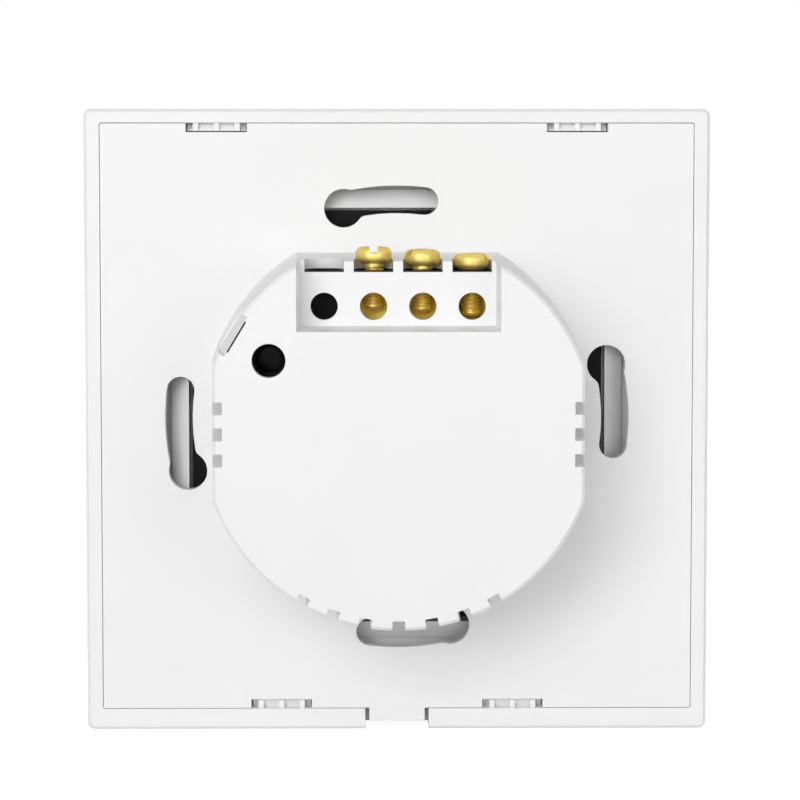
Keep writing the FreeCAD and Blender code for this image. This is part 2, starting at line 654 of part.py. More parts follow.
def terminal_screw(x, tip_z, turn):
    """Slotted screw turned from one profile: shank and cushion-shaped head."""
    shank = SCREW_SHANK / 2
    head = HEAD_DIAMETER / 2
    under = SCREW_LENGTH - HEAD_HEIGHT
    widest = under + HEAD_WIDEST
    shoulder = SCREW_LENGTH - HEAD_CROWN
    side_top = shoulder - HEAD_ROUND
    bulge = head - (head - shank) * (1 - math.sqrt(0.5))
    lower = vec(bulge, 0, under + HEAD_NECK + (HEAD_WIDEST - HEAD_NECK) * (1 - math.sqrt(0.5)))
    top_x = head - HEAD_ROUND
    turn_in = HEAD_ROUND * math.sqrt(0.5)
    crown = vec(top_x / 2, 0, SCREW_LENGTH - HEAD_CROWN / 4)
    edges = [
        Part.makeLine(vec(0, 0, 0), vec(shank - TIP_BREAK, 0, 0)),
        Part.makeLine(vec(shank - TIP_BREAK, 0, 0), vec(shank, 0, TIP_BREAK)),
        Part.makeLine(vec(shank, 0, TIP_BREAK), vec(shank, 0, under + HEAD_NECK)),
        Part.Arc(vec(shank, 0, under + HEAD_NECK), lower, vec(head, 0, widest)).toShape(),
        Part.makeLine(vec(head, 0, widest), vec(head, 0, side_top)),
        Part.Arc(vec(head, 0, side_top), vec(top_x + turn_in, 0, side_top + turn_in),
                 vec(top_x, 0, shoulder)).toShape(),
        Part.Arc(vec(top_x, 0, shoulder), crown, vec(0, 0, SCREW_LENGTH)).toShape(),
        Part.makeLine(vec(0, 0, SCREW_LENGTH), vec(0, 0, 0)),
    ]
    solid = Part.Face(Part.Wire(edges)).revolve(vec(0, 0, 0), vec(0, 0, 1), 360)
    slot = box(-HEAD_DIAMETER, HEAD_DIAMETER, -SLOT_CUT_WIDTH / 2, SLOT_CUT_WIDTH / 2,
               SCREW_LENGTH - SLOT_CUT_DEPTH, SCREW_LENGTH + OVERCUT)
    screw = cut(solid, slot)
    screw.rotate(vec(0, 0, 0), vec(0, 0, 1), turn)
    screw.translate(vec(x, SCREW_Y, tip_z))
    return screw


def power_board():
    """Board with a notch at each boss, of which one is also the snap arm's way through."""
    board = body_slab(POWER_BOARD_Y, BOARD_FRONT_Y, BODY_WALL + BOARD_CLEAR)
    cutters = []
    for x, z in boss_places():
        cutters.append(rod_y(x, z, BOSS_DIAMETER + 2 * BOARD_CLEAR, POWER_BOARD_Y - OVERCUT,
                             BOARD_FRONT_Y + OVERCUT))
    half = LATCH_WIDTH / 2 + BOARD_CLEAR
    inner = arm_outer() - LATCH_THICK - BOARD_CLEAR
    passage = box(-BODY_RADIUS, -inner, POWER_BOARD_Y - OVERCUT, BOARD_FRONT_Y + OVERCUT,
                  -half, LATCH_BESIDE_BOSS)
    cutters.append(latch_turn(passage))
    cutters += [rod_y(x, z, LEAD_DIAMETER + 2 * LEAD_CLEAR, POWER_BOARD_Y - OVERCUT,
                      BOARD_FRONT_Y + OVERCUT) for x, z in lead_places()]
    cutters += header_pins(PIN_SIDE + 2 * LEAD_CLEAR, POWER_BOARD_Y - OVERCUT, BOARD_FRONT_Y + OVERCUT)
    return cut(board, *cutters)


def stood_box(corner, size):
    """A box that stands on the power board's rear side."""
    x, z = corner
    return box(x, x + size[0], POWER_BOARD_Y - size[1], POWER_BOARD_Y, z, z + size[2])


def reservoir_capacitor():
    """Round can in a sleeve, whose open collar shows through the hole in the rear face."""
    end_y = POWER_BOARD_Y - RESERVOIR_HEIGHT
    sleeve = rod_y(PEEP_X, PEEP_Z, RESERVOIR_DIAMETER, end_y, POWER_BOARD_Y)
    inside = RESERVOIR_DIAMETER - 2 * RESERVOIR_COLLAR_WALL
    return cut(sleeve, rod_y(PEEP_X, PEEP_Z, inside, end_y - OVERCUT, end_y + RESERVOIR_COLLAR))


def relay():
    body = stood_box(RELAY_CORNER, RELAY_SIZE)
    far = [e for e in body.Edges if e.BoundBox.YMax < POWER_BOARD_Y - RELAY_SIZE[1] + 0.01]
    return body.makeFillet(RELAY_EDGE, far)


def transformer_core():
    """Two E halves: a block with a window through it for the winding."""
    core = stood_box(CORE_CORNER, CORE_SIZE)
    x, z = CORE_CORNER
    window = box(x + WINDING_MARGIN, x + CORE_SIZE[0] - WINDING_MARGIN,
                 POWER_BOARD_Y - CORE_SIZE[1] + WINDING_MARGIN, POWER_BOARD_Y + OVERCUT,
                 z - OVERCUT, z + CORE_SIZE[2] + OVERCUT)
    return cut(core, window)


def transformer_winding():
    x, z = CORE_CORNER
    margin = WINDING_MARGIN + WINDING_CLEAR
    return box(x + margin, x + CORE_SIZE[0] - margin,
               POWER_BOARD_Y - CORE_SIZE[1] + margin, POWER_BOARD_Y, z, z + CORE_SIZE[2])


def varistor_leads():
    """Centres of the varistor's two leads in the power board."""
    return [(VARISTOR_X + side * VARISTOR_DIAMETER / 4, VARISTOR_Z) for side in (-1, 1)]


def resistor_leads():
    """Centres of the fusible resistor's two leads in the power board."""
    reach = RESISTOR_LENGTH / 2 + LEAD_REACH - LEAD_DIAMETER / 2
    return [(RESISTOR_X, RESISTOR_Z - reach), (RESISTOR_X, RESISTOR_Z + reach)]


def lead_places():
    return varistor_leads() + resistor_leads()


def varistor():
    """Upright coated disc on two leads."""
    centre_y = POWER_BOARD_Y - LEAD_STAND - VARISTOR_DIAMETER / 2
    half = VARISTOR_THICK / 2
    disc = rod_z(VARISTOR_X, centre_y, VARISTOR_DIAMETER, VARISTOR_Z - half, VARISTOR_Z + half)
    leads = [rod_y(lx, lz, LEAD_DIAMETER, centre_y, BOARD_FRONT_Y) for lx, lz in varistor_leads()]
    return fuse(disc, *leads)


def bent_lead(x, leg_z, centre_y, body_z):
    """Wire that leaves the body along Z, bends once and passes through the board."""
    side = 1 if leg_z > body_z else -1
    bend = LEAD_BEND * (1 - math.sqrt(0.5))
    corner = vec(x, centre_y + bend, leg_z - side * bend)
    down = vec(x, centre_y + LEAD_BEND, leg_z)
    along = vec(x, centre_y, leg_z - side * LEAD_BEND)
    path = Part.Wire([
        Part.makeLine(vec(x, BOARD_FRONT_Y, leg_z), down),
        Part.Arc(down, corner, along).toShape(),
        Part.makeLine(along, vec(x, centre_y, body_z)),
    ])
    ring = Part.makeCircle(LEAD_DIAMETER / 2, vec(x, BOARD_FRONT_Y, leg_z), vec(0, 1, 0))
    return path.makePipeShell([Part.Wire([ring])], True, False)


def fuse_resistor():
    """Lying cylinder with its two bent leads."""
    centre_y = POWER_BOARD_Y - LEAD_STAND / 2 - RESISTOR_DIAMETER / 2
    half = RESISTOR_LENGTH / 2
    body = rod_z(RESISTOR_X, centre_y, RESISTOR_DIAMETER, RESISTOR_Z - half, RESISTOR_Z + half)
    leads = [bent_lead(lx, lz, centre_y, RESISTOR_Z) for lx, lz in resistor_leads()]
    return fuse(body, *leads)


def header_pins(side, y0, y1):
    pins = []
    for i in range(PIN_COUNT):
        x = (i - (PIN_COUNT - 1) / 2) * PIN_PITCH
        pins.append(box(x - side / 2, x + side / 2, y0, y1, HEADER_Z - side / 2, HEADER_Z + side / 2))
    return pins


def header_bar(y0, y1):
    half = PIN_COUNT * PIN_PITCH / 2
    return box(-half, half, y0, y1, HEADER_Z - HEADER_WIDTH / 2, HEADER_Z + HEADER_WIDTH / 2)


def pin_header():
    bar = header_bar(BOARD_FRONT_Y, BOARD_FRONT_Y + HEADER_HEIGHT)
    return fuse(bar, *header_pins(PIN_SIDE, BOARD_FRONT_Y - POWER_BOARD_THICK, TOUCH_BOARD_Y - PIN_TAIL))


def board_socket():
    bar = header_bar(BOARD_FRONT_Y + HEADER_HEIGHT + HEADER_GAP, TOUCH_BOARD_Y)
    return cut(bar, *header_pins(PIN_SIDE + 2 * PIN_CLEAR, REAR_Y, TOUCH_BOARD_Y - PIN_TAIL / 2))


def arm_outer():
    """Outer radius of the carrier's snap arm, which stands clear of the wall."""
    return REAR_RADIUS - BODY_WALL - LATCH_GAP


def board_carrier():
    """White carrier: a disc on the body's mouth, a rim for the touch board and a snap arm."""
    seat_y = PLATE_THICK
    disc = body_slab(seat_y, seat_y + CARRIER_BASE, BODY_WALL - CARRIER_SEAT)
    rim = body_slab(seat_y, TOUCH_BOARD_Y, BODY_WALL - CARRIER_SEAT)
    hollow = body_slab(seat_y - OVERCUT, TOUCH_BOARD_Y + OVERCUT, BODY_WALL - CARRIER_SEAT + CARRIER_RIM)
    carrier = fuse(disc, rim.cut(hollow))
    wide, tall = CARRIER_WINDOW
    window = box(-wide / 2, wide / 2, seat_y - OVERCUT, seat_y + CARRIER_BASE + OVERCUT,
                 CARRIER_WINDOW_Z - tall / 2, CARRIER_WINDOW_Z + tall / 2)
    holes = [rod_y(x, z, CARRIER_SCREW_HOLE, seat_y - OVERCUT, seat_y + CARRIER_BASE + OVERCUT)
             for x, z in boss_places()]
    pegs = []
    for side in (-1, 1):
        pegs.append(rod_y(side * LOCATING_PIN_X, 0, LOCATING_PIN, seat_y,
                          TOUCH_FRONT_Y - LOCATING_PIN_SETBACK))
        pegs.append(rod_y(side * LOCATING_PIN_X, 0, 2 * LOCATING_PIN, seat_y, TOUCH_BOARD_Y))
    outer = arm_outer()
    inner = outer - LATCH_THICK
    half = LATCH_WIDTH / 2
    end_y = CAVITY_END_Y + LATCH_GAP
    arm = box(-outer, -inner, end_y, seat_y + CARRIER_BASE, -half, half)
    tip = outer + LATCH_NOSE
    profile = [vec(-outer, end_y, -half), vec(-tip, end_y + LATCH_NOSE, -half),
               vec(-tip, end_y + LATCH_NOSE_LENGTH, -half), vec(-outer, end_y + LATCH_NOSE_LENGTH, -half)]
    nose = Part.Face(Part.makePolygon(profile + profile[:1])).extrude(vec(0, 0, LATCH_WIDTH))
    latch = latch_turn(fuse(arm, nose))
    return fuse(cut(carrier, window, *holes), latch, *pegs)


def carrier_screws():
    seat_y = PLATE_THICK + CARRIER_BASE
    screws = []
    for x, z in boss_places():
        head = rod_y(x, z, CARRIER_SCREW_HEAD, seat_y, seat_y + CARRIER_SCREW_HEAD_HEIGHT)
        shank = rod_y(x, z, CARRIER_SCREW_SHANK, seat_y - CARRIER_SCREW_LENGTH, seat_y)
        screws.append(fuse(head, shank))
    return Part.makeCompound(screws)


def touch_board():
    half = TOUCH_BOARD_SIDE / 2
    board = rounded_slab(-half, half, -half, half, TOUCH_BOARD_Y, TOUCH_FRONT_Y, TOUCH_BOARD_CORNER)
    holes = [rod_y(side * LOCATING_PIN_X, 0, LOCATING_PIN + 2 * LOCATING_CLEAR,
                   TOUCH_BOARD_Y - OVERCUT, TOUCH_FRONT_Y + OVERCUT) for side in (-1, 1)]
    return cut(board, *holes)


def touch_electrode():
    outer = rod_y(0, 0, ELECTRODE_OUTER, TOUCH_FRONT_Y, TOUCH_FRONT_Y + ELECTRODE_THICK)
    return outer.cut(rod_y(0, 0, ELECTRODE_INNER, TOUCH_FRONT_Y - OVERCUT, FRONT_Y))


def light_guide():
    guide = rod_y(0, 0, GUIDE_DIAMETER, TOUCH_FRONT_Y, GLASS_Y - GUIDE_GAP)
    pocket = rod_y(0, 0, GUIDE_POCKET, TOUCH_FRONT_Y - OVERCUT, GLASS_Y - GUIDE_GAP - GUIDE_ROOF)
    return guide.cut(pocket)


def status_leds():
    half = LED_SIZE / 2
    return Part.makeCompound([box(x - half, x + half, TOUCH_FRONT_Y, TOUCH_FRONT_Y + LED_HEIGHT, -half, half)
                              for x in (-LED_PITCH / 2, LED_PITCH / 2)])


def wifi_module():
    wide, tall = MODULE_SIZE
    return box(-wide / 2, wide / 2, TOUCH_BOARD_Y - MODULE_THICK, TOUCH_BOARD_Y,
               MODULE_Z - tall / 2, MODULE_Z + tall / 2)


def wifi_shield():
    wide, tall = MODULE_SIZE
    front_y = TOUCH_BOARD_Y - MODULE_THICK
    return box(-wide / 2 + SHIELD_MARGIN, wide / 2 - SHIELD_ANTENNA_SIDE, front_y - SHIELD_HEIGHT, front_y,
               MODULE_Z - tall / 2 + SHIELD_MARGIN, MODULE_Z + tall / 2 - SHIELD_MARGIN)


def all_nodes():
    nodes = {
        "glass_panel": glass_panel(),
        "glass_adhesive": glass_adhesive(),
        "panel_frame": panel_frame(),
        "back_shell": back_shell(),
        "board_carrier": board_carrier(),
        "carrier_screws": carrier_screws(),
        "touch_board": touch_board(),
        "touch_electrode": touch_electrode(),
        "light_guide": light_guide(),
        "status_leds": status_leds(),
        "wifi_module": wifi_module(),
        "wifi_shield": wifi_shield(),
        "board_socket": board_socket(),
        "pin_header": pin_header(),
        "power_board": power_board(),
        "relay": relay(),
        "reservoir_capacitor": reservoir_capacitor(),
        "transformer_core": transformer_core(),
        "transformer_winding": transformer_winding(),
        "film_capacitor": stood_box((FILM_X, FILM_Z), FILM_SIZE),
        "varistor": varistor(),
        "fuse_resistor": fuse_resistor(),
        "bridge_rectifier": stood_box((BRIDGE_X, BRIDGE_Z), BRIDGE_SIZE),
        "terminal_block": terminal_block(),
    }
    for i, x in enumerate(FITTED_X):
        nodes[f"terminal_clamp_{i + 1}"] = terminal_clamp(x)
        nodes[f"terminal_screw_{i + 1}"] = terminal_screw(x, SCREW_TIP_Z[i], SCREW_TURN[i])
    return nodes


os.makedirs("parts", exist_ok=True)
for node_name, node_shape in all_nodes().items():
    node_shape.exportStep(f"parts/{node_name}.step")
    solids = node_shape.Solids
    print(node_name, len(solids), node_shape.isValid(), round(sum(s.Volume for s in solids), 2))
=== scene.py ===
import math

import bmesh
import bpy
import numpy as np
from bpy.props import FloatProperty, FloatVectorProperty, PointerProperty
from mathutils import Matrix, Vector


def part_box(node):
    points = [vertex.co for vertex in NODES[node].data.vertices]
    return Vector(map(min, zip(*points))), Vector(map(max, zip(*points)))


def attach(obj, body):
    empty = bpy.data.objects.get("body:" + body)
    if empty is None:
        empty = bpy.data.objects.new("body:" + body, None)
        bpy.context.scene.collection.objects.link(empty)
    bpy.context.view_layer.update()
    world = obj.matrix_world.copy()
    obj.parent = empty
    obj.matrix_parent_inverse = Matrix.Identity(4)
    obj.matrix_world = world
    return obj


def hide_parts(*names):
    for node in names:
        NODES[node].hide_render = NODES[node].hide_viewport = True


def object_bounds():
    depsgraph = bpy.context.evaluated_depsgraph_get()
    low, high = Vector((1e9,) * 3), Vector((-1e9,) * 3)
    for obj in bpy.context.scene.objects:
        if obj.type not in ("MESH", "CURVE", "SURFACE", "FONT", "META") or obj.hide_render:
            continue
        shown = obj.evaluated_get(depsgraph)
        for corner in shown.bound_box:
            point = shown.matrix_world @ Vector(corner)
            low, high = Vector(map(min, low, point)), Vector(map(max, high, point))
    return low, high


bl_info = {
    "name": "Wall switch looks",
    "version": (1, 0, 0),
    "blender": (4, 5, 0),
    "location": "View3D > Sidebar > Wall switch",
    "description": "Dresses the solids of a round-bodied touch wall switch",
    "category": "Object",
}

# The solids' frame: metres, +X right as seen from behind, +Z up, +Y to the front glass.
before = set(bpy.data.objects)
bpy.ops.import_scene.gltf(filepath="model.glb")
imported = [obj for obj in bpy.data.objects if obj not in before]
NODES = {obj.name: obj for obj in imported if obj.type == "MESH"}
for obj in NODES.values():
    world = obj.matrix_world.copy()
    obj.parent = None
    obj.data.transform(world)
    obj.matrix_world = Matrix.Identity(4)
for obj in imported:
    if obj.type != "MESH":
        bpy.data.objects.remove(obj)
CAD_BOX = [list(corner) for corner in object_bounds()]
MM = 0.001


# Colours and nodes

def srgb(text):
    """Linear RGBA of an sRGB hex colour."""
    values = [int(text[i:i + 2], 16) / 255 for i in (0, 2, 4)]
    return [v / 12.92 if v <= 0.04045 else ((v + 0.055) / 1.055) ** 2.4 for v in values] + [1.0]


def deeper(colour, share):
    """The same colour with a share of its light."""
    return [part * share for part in colour[:3]] + [1.0]


def cleared(owner):
    """The node tree of a material or a world, with nothing in it."""
    owner.use_nodes = True
    owner.node_tree.nodes.clear()
    return owner.node_tree


def add(tree, kind, inputs=None, stops=(), **settings):
    """Adds a node with its settings and links. An input is given a value, or the socket or node
    that it is linked to, and a colour ramp is given its stops."""
    made = tree.nodes.new(kind)
    for name, value in settings.items():
        setattr(made, name, value)
    for key, value in (inputs or {}).items():
        if isinstance(value, bpy.types.Node):
            value = value.outputs[0]
        if isinstance(value, bpy.types.NodeSocket):
            tree.links.new(value, made.inputs[key])
        else:
            made.inputs[key].default_value = value
    for k, (position, tone) in enumerate(stops):
        made.color_ramp.elements[k].position = position
        made.color_ramp.elements[k].color = tone
    return made


def tones(low, high, start=0.35, end=0.65):
    """The stops of a colour ramp that goes from one colour at start to another at end."""
    return (start, low), (end, high)


def scale_of(size_mm):
    """The scale of a pattern whose grains or rows are this size."""
    return 1 / (size_mm * MM)


def begun(name):
    """A new material, its empty node tree and the Object coordinate for its patterns."""
    material = bpy.data.materials.new(name)
    tree = cleared(material)
    return material, tree, add(tree, "ShaderNodeTexCoord").outputs["Object"]


def surfaced(material, tree, inputs):
    """The same material, now with one Principled surface that has these inputs."""
    surface = add(tree, "ShaderNodeBsdfPrincipled", inputs)
    add(tree, "ShaderNodeOutputMaterial", {"Surface": surface})
    return material


# Materials, each named for what the real one is and how its surface was made

EDGE_SAMPLES = 4    # samples of the normals that turn gradually over a soft edge


def moulded_plastic(name, colour, share, roughness, grain_mm, depth_mm, specular=0.4,
                    edge_mm=0.12):
    """Injection moulded plastic. The spark-eroded mould leaves a fine matt grain, the melt's
    flow leaves faint clouds in its tone down to a share of its light, and no edge of a moulding
    is quite sharp. Grains finer than 0.2 mm are drawn that coarse, so that they show."""
    material, tree, place = begun(name)
    clouds = add(tree, "ShaderNodeTexNoise",
                 {"Vector": place, "Scale": scale_of(14.0), "Detail": 2.0})
    tone = add(tree, "ShaderNodeValToRGB", {"Fac": clouds},
               stops=tones(deeper(colour, share), list(colour)))
    grain = add(tree, "ShaderNodeTexNoise",
                {"Vector": place, "Scale": scale_of(grain_mm), "Detail": 3.0})
    edges = add(tree, "ShaderNodeBevel", {"Radius": edge_mm * MM}, samples=EDGE_SAMPLES)
    relief = add(tree, "ShaderNodeBump", {"Height": grain, "Distance": depth_mm * MM,
                                          "Strength": 0.35, "Normal": edges})
    return surfaced(material, tree, {"Base Color": tone, "Normal": relief,
                                     "Roughness": roughness, "Specular IOR Level": specular})


TARNISHED = 0.82    # light that tarnished brass gives back, as a share of clean brass


def turned_brass(name, colour):
    """Free-cutting brass, turned on an automatic lathe: a warm yellow metal whose fine tool
    marks run round it and soften the highlights, a little browner where it has tarnished. The
    marks follow the attribute tool_path, the distance in mm from the axis plus the height. Real
    ones stand 0.05 mm apart and are drawn 0.12 mm apart so that they show."""
    spacing_mm = 0.12
    material, tree, place = begun(name)
    tarnish = add(tree, "ShaderNodeTexNoise",
                  {"Vector": place, "Scale": scale_of(1.6), "Detail": 3.0})
    tone = add(tree, "ShaderNodeValToRGB", {"Fac": tarnish},
               stops=tones(deeper(colour, TARNISHED), list(colour), start=0.3, end=0.6))
    path = add(tree, "ShaderNodeAttribute", attribute_name="tool_path").outputs["Fac"]
    marks = add(tree, "ShaderNodeTexNoise", {"W": path, "Scale": 1 / spacing_mm, "Detail": 2.0},
                noise_dimensions="1D")
    edges = add(tree, "ShaderNodeBevel", {"Radius": 0.06 * MM}, samples=EDGE_SAMPLES)
    relief = add(tree, "ShaderNodeBump", {"Height": marks, "Distance": 0.006 * MM,
                                          "Strength": 0.4, "Normal": edges})
    return surfaced(material, tree, {"Base Color": tone, "Normal": relief,
                                     "Roughness": 0.42, "Metallic": 0.74})


def sawn_brass(name, colour):
    """Drawn brass bar, sawn and drilled: duller than a turned face, with a scatter of short
    marks, soft broken edges and spots where it has tarnished."""
    material, tree, place = begun(name)
    tarnish = add(tree, "ShaderNodeTexNoise",
                  {"Vector": place, "Scale": scale_of(1.1), "Detail": 4.0})
    tone = add(tree, "ShaderNodeValToRGB", {"Fac": tarnish},
               stops=tones(deeper(colour, TARNISHED), list(colour), start=0.3))
    stretched = add(tree, "ShaderNodeMapping", {"Vector": place, "Scale": (1.0, 1.0, 0.2)})
    marks = add(tree, "ShaderNodeTexNoise",
                {"Vector": stretched, "Scale": scale_of(0.12), "Detail": 3.0})
    edges = add(tree, "ShaderNodeBevel", {"Radius": 0.15 * MM}, samples=EDGE_SAMPLES)
    relief = add(tree, "ShaderNodeBump", {"Height": marks, "Distance": 0.012 * MM,
                                          "Strength": 0.5, "Normal": edges})
    return surfaced(material, tree, {"Base Color": tone, "Normal": relief,
                                     "Roughness": 0.55, "Metallic": 0.38})


MIX_A, MIX_B, MIX_RESULT = 6, 7, 2    # the colour sockets of a Mix node, which share names


def painted_glass(name, colour, ring_mm):
    """Float glass with enamel fired on its back: a cool white seen through a clear, perfectly
    smooth face, which gives sharp reflections. The enamel is thinner in one ring over the
    indicator lights, which shows greyer: the ring is where the distance from the axis, less its
    radius, is under half its line."""
    half_line, faded = 0.35 * MM, 0.5 * MM
    material, tree, place = begun(name)
    clouds = add(tree, "ShaderNodeTexNoise",
                 {"Vector": place, "Scale": scale_of(18.0), "Detail": 2.0})
    enamel = add(tree, "ShaderNodeValToRGB", {"Fac": clouds},
                 stops=tones(deeper(colour, 0.97), list(colour)))
    flat = add(tree, "ShaderNodeVectorMath", {0: place, 1: (1.0, 0.0, 1.0)},
               operation="MULTIPLY")
    reach = add(tree, "ShaderNodeVectorMath", {0: flat}, operation="LENGTH").outputs["Value"]
    off = add(tree, "ShaderNodeMath", {0: reach, 1: ring_mm * MM / 2}, operation="SUBTRACT")
    off = add(tree, "ShaderNodeMath", {0: off}, operation="ABSOLUTE")
    ring = add(tree, "ShaderNodeMapRange", {"Value": off, "From Min": half_line,
                                            "From Max": faded, "To Min": 1.0, "To Max": 0.0})
    mixed = add(tree, "ShaderNodeMix", {"Factor": ring, MIX_A: enamel,
                                        MIX_B: deeper(colour, 0.66)}, data_type="RGBA")
    return surfaced(material, tree, {
        "Base Color": mixed.outputs[MIX_RESULT], "Roughness": 0.06, "Coat Weight": 1.0,
        "Coat Roughness": 0.03, "Specular IOR Level": 0.5})


def fine_finish(name, low, high, roughness, grain_mm, metallic=0.0):
    """A finish with a fine even grain, told apart by its two tones and its gloss."""
    material, tree, place = begun(name)
    grain = add(tree, "ShaderNodeTexNoise",
                {"Vector": place, "Scale": scale_of(grain_mm), "Detail": 2.0})
    tone = add(tree, "ShaderNodeValToRGB", {"Fac": grain}, stops=tones(srgb(low), srgb(high)))
    relief = add(tree, "ShaderNodeBump", {"Height": grain, "Distance": 0.004 * MM,
                                          "Strength": 0.3})
    return surfaced(material, tree, {"Base Color": tone, "Normal": relief,
                                     "Roughness": roughness, "Metallic": metallic})


def solder_mask(name, base, track, roughness, specular):
    """Solder mask over copper: the tracks under it stand a little proud and show as slightly
    lighter lines in rows 1.27 mm apart, joined by short steps from row to row. They are the
    mortar of a brick pattern, turned to lie in the board's plane."""
    pitch_mm = 1.27
    material, tree, place = begun(name)
    turned = add(tree, "ShaderNodeMapping", {"Vector": place,
                                             "Rotation": (math.radians(90), 0, 0)})
    tracks = add(tree, "ShaderNodeTexBrick", {
        "Vector": turned, "Color1": srgb(base), "Color2": srgb(base), "Mortar": srgb(track),
        "Scale": scale_of(pitch_mm), "Mortar Size": 0.09, "Mortar Smooth": 0.3,
        "Brick Width": 3.0, "Row Height": 1.0}, offset=0.5, squash=1.6, squash_frequency=3)
    relief = add(tree, "ShaderNodeBump", {"Height": tracks.outputs["Fac"],
                                          "Distance": 0.03 * MM, "Strength": 0.4})
    return surfaced(material, tree, {"Base Color": tracks, "Normal": relief,
                                     "Roughness": roughness, "Specular IOR Level": specular})


def finishes(colours, sizes):
    """The materials: one for each of the record's slots, one more for the sawn clamps and one
    for the capacitor's sleeve."""
    return {
        # A bright, even white with a dry sheen
        "white_plastic": moulded_plastic(
            "polycarbonate_spark_eroded_white", colours.white_plastic, share=0.985,
            roughness=0.42, grain_mm=0.22, depth_mm=0.01),
        # A flat black that mirrors almost nothing
        "black_plastic": moulded_plastic(
            "polyamide_moulded_black", colours.black_plastic, share=0.7, roughness=0.45,
            grain_mm=0.2, depth_mm=0.008, specular=0.15),
        # A smooth, taut black skin
        "black_sleeve": moulded_plastic(
            "polyester_shrink_sleeve_black", colours.black_plastic, share=0.6, roughness=0.2,
            grain_mm=0.6, depth_mm=0.004, specular=0.1),
        # A dipped coat of even blue, with a soft gloss
        "blue_plastic": moulded_plastic(
            "epoxy_dipped_blue", srgb("3168AE"), share=0.9, roughness=0.32, grain_mm=0.3,
            depth_mm=0.006),
        # A milky white that hides the lights behind it
        "clear_plastic": moulded_plastic(
            "acrylic_diffuser_milky", srgb("F2F4F4"), share=0.96, roughness=0.3, grain_mm=0.3,
            depth_mm=0.003),
        # A cool white under a sharp gloss
        "glass": painted_glass("float_glass_back_enamelled_white", colours.enamel,
                               sizes.ring / MM),
        # Closed-cell foam: a soft, flat white
        "adhesive": fine_finish("acrylic_foam_tape_white", "DCDCD8", "E6E6E2", 0.6, 0.15),
        # Printed mask: near black, with faint raised tracks
        "black_board": solder_mask("solder_mask_matt_black", "070707", "0C0C0C",
                                   roughness=0.4, specular=0.1),
        # Printed mask: a glossy green, with lighter raised tracks
        "green_board": solder_mask("solder_mask_green", "1F5A34", "2F7448",
                                   roughness=0.3, specular=0.4),
        # Etched foil under a flash of gold: a warm, even gleam
        "copper": fine_finish("copper_gold_flashed", "D9A35A", "E0B068", 0.3, 0.3, metallic=1.0),
        # Phosphor in cast resin: a dull warm yellow
        "led_white": fine_finish("phosphor_resin_cast", "EADF8E", "F0E8A8", 0.3, 0.2),
        # Tin-plated sheet and wire: a soft grey gleam
        "steel": fine_finish("steel_tin_plated", "B9BBBD", "C9CBCD", 0.28, 0.25, metallic=1.0),
        # Pressed and sintered powder: a dark, dry grey
        "ferrite": fine_finish("ferrite_sintered", "2A2B2D", "353638", 0.55, 0.12),
        # Tape wound tight over the coil: a smooth amber yellow
        "winding_tape": fine_finish("polyester_tape_yellow", "D9B23A", "E2BE4A", 0.3, 0.6),
        # A moulded case: a strong, flat yellow
        "yellow_film": fine_finish("polypropylene_case_yellow", "D8B021", "E0BA30", 0.35, 0.3),
        # Baked paint: a deep green with little gloss
        "green_coat": fine_finish("ceramic_coat_green", "2E6E52", "34785A", 0.4, 0.2),
        # A warm yellow with soft rings of light
        "brass": turned_brass("brass_turned", colours.brass),
        # A duller gleam with scattered short marks. Its yellow is painted lighter than the screws'
        # brass to stand in for light that hardly reaches the clamps in their bores
        "sawn_brass": sawn_brass("brass_sawn_and_drilled", colours.brass_bar),
    }


MADE = {}


def finish(key):
    """One of the materials; all of them are made when the first is asked for."""
    if not MADE:
        scene = bpy.context.scene
        MADE.update(finishes(scene.switch_colours, scene.switch_sizes))
    return MADE[key]


# Surfaces, as sheets of points: rows x columns x 3, in metres

MERGE = 1e-7            # points in the same cell of this size, in metres, are one point
CELL_START = 0.3137     # share of a cell that keeps round sizes away from the cells' borders


def joined(name, sheets, crease=35.0):
    """One closed mesh from sheets of points. Each cell of a sheet is two triangles, points in
    the same place are one, triangles that have shrunk to a line go, and faces turn outwards.
    Edges sharper than the crease, in degrees, stay sharp."""
    corners = []
    start = 0
    for sheet in sheets:
        rows, columns = sheet.shape[:2]
        index = start + np.arange(rows * columns).reshape(rows, columns)
        a, b, c, d = index[:-1, :-1], index[1:, :-1], index[1:, 1:], index[:-1, 1:]
        corners += [np.stack([a, b, c], -1).reshape(-1, 3),
                    np.stack([a, c, d], -1).reshape(-1, 3)]
        start += rows * columns
    points = np.concatenate([sheet.reshape(-1, 3) for sheet in sheets])
    keys = np.floor(points / MERGE + CELL_START).astype(np.int64)
    _, first, same = np.unique(keys, axis=0, return_index=True, return_inverse=True)
    corners = same.reshape(-1)[np.concatenate(corners)]
    shrunk = (corners == np.roll(corners, 1, axis=1)).any(axis=1)
    mesh = bpy.data.meshes.new(name)
    mesh.from_pydata(points[first].tolist(), [], corners[~shrunk].tolist())
    whole = bmesh.new()
    whole.from_mesh(mesh)
    bmesh.ops.recalc_face_normals(whole, faces=whole.faces)
    whole.to_mesh(mesh)
    whole.free()
    mesh.shade_smooth()
    mesh.set_sharp_from_angle(angle=math.radians(crease))
    return mesh


def piece(name, mesh, body, slot, material, *replaced):
    """Puts a finished mesh in the scene, riding on a body in place of the solids it stands for."""
    obj = bpy.data.objects.new(name, mesh)
    bpy.context.scene.collection.objects.link(obj)
    mesh.materials.append(material)
    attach(obj, body)
    if replaced:
        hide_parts(*replaced)


def extent(node):
    """A solid's lowest and highest corners and its middle, in mm."""
    low, high = (np.array(corner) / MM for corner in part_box(node))
    return low, high, (low + high) / 2


def quarter(radius, count=9):
    """A quarter circle, as distances in from a side and along it: in = r (1 - cos a) and
    along = r sin a for angles a from 0 to a right angle."""
    angle = np.linspace(0, math.pi / 2, count)
    return radius * (1 - np.cos(angle)), radius * np.sin(angle)


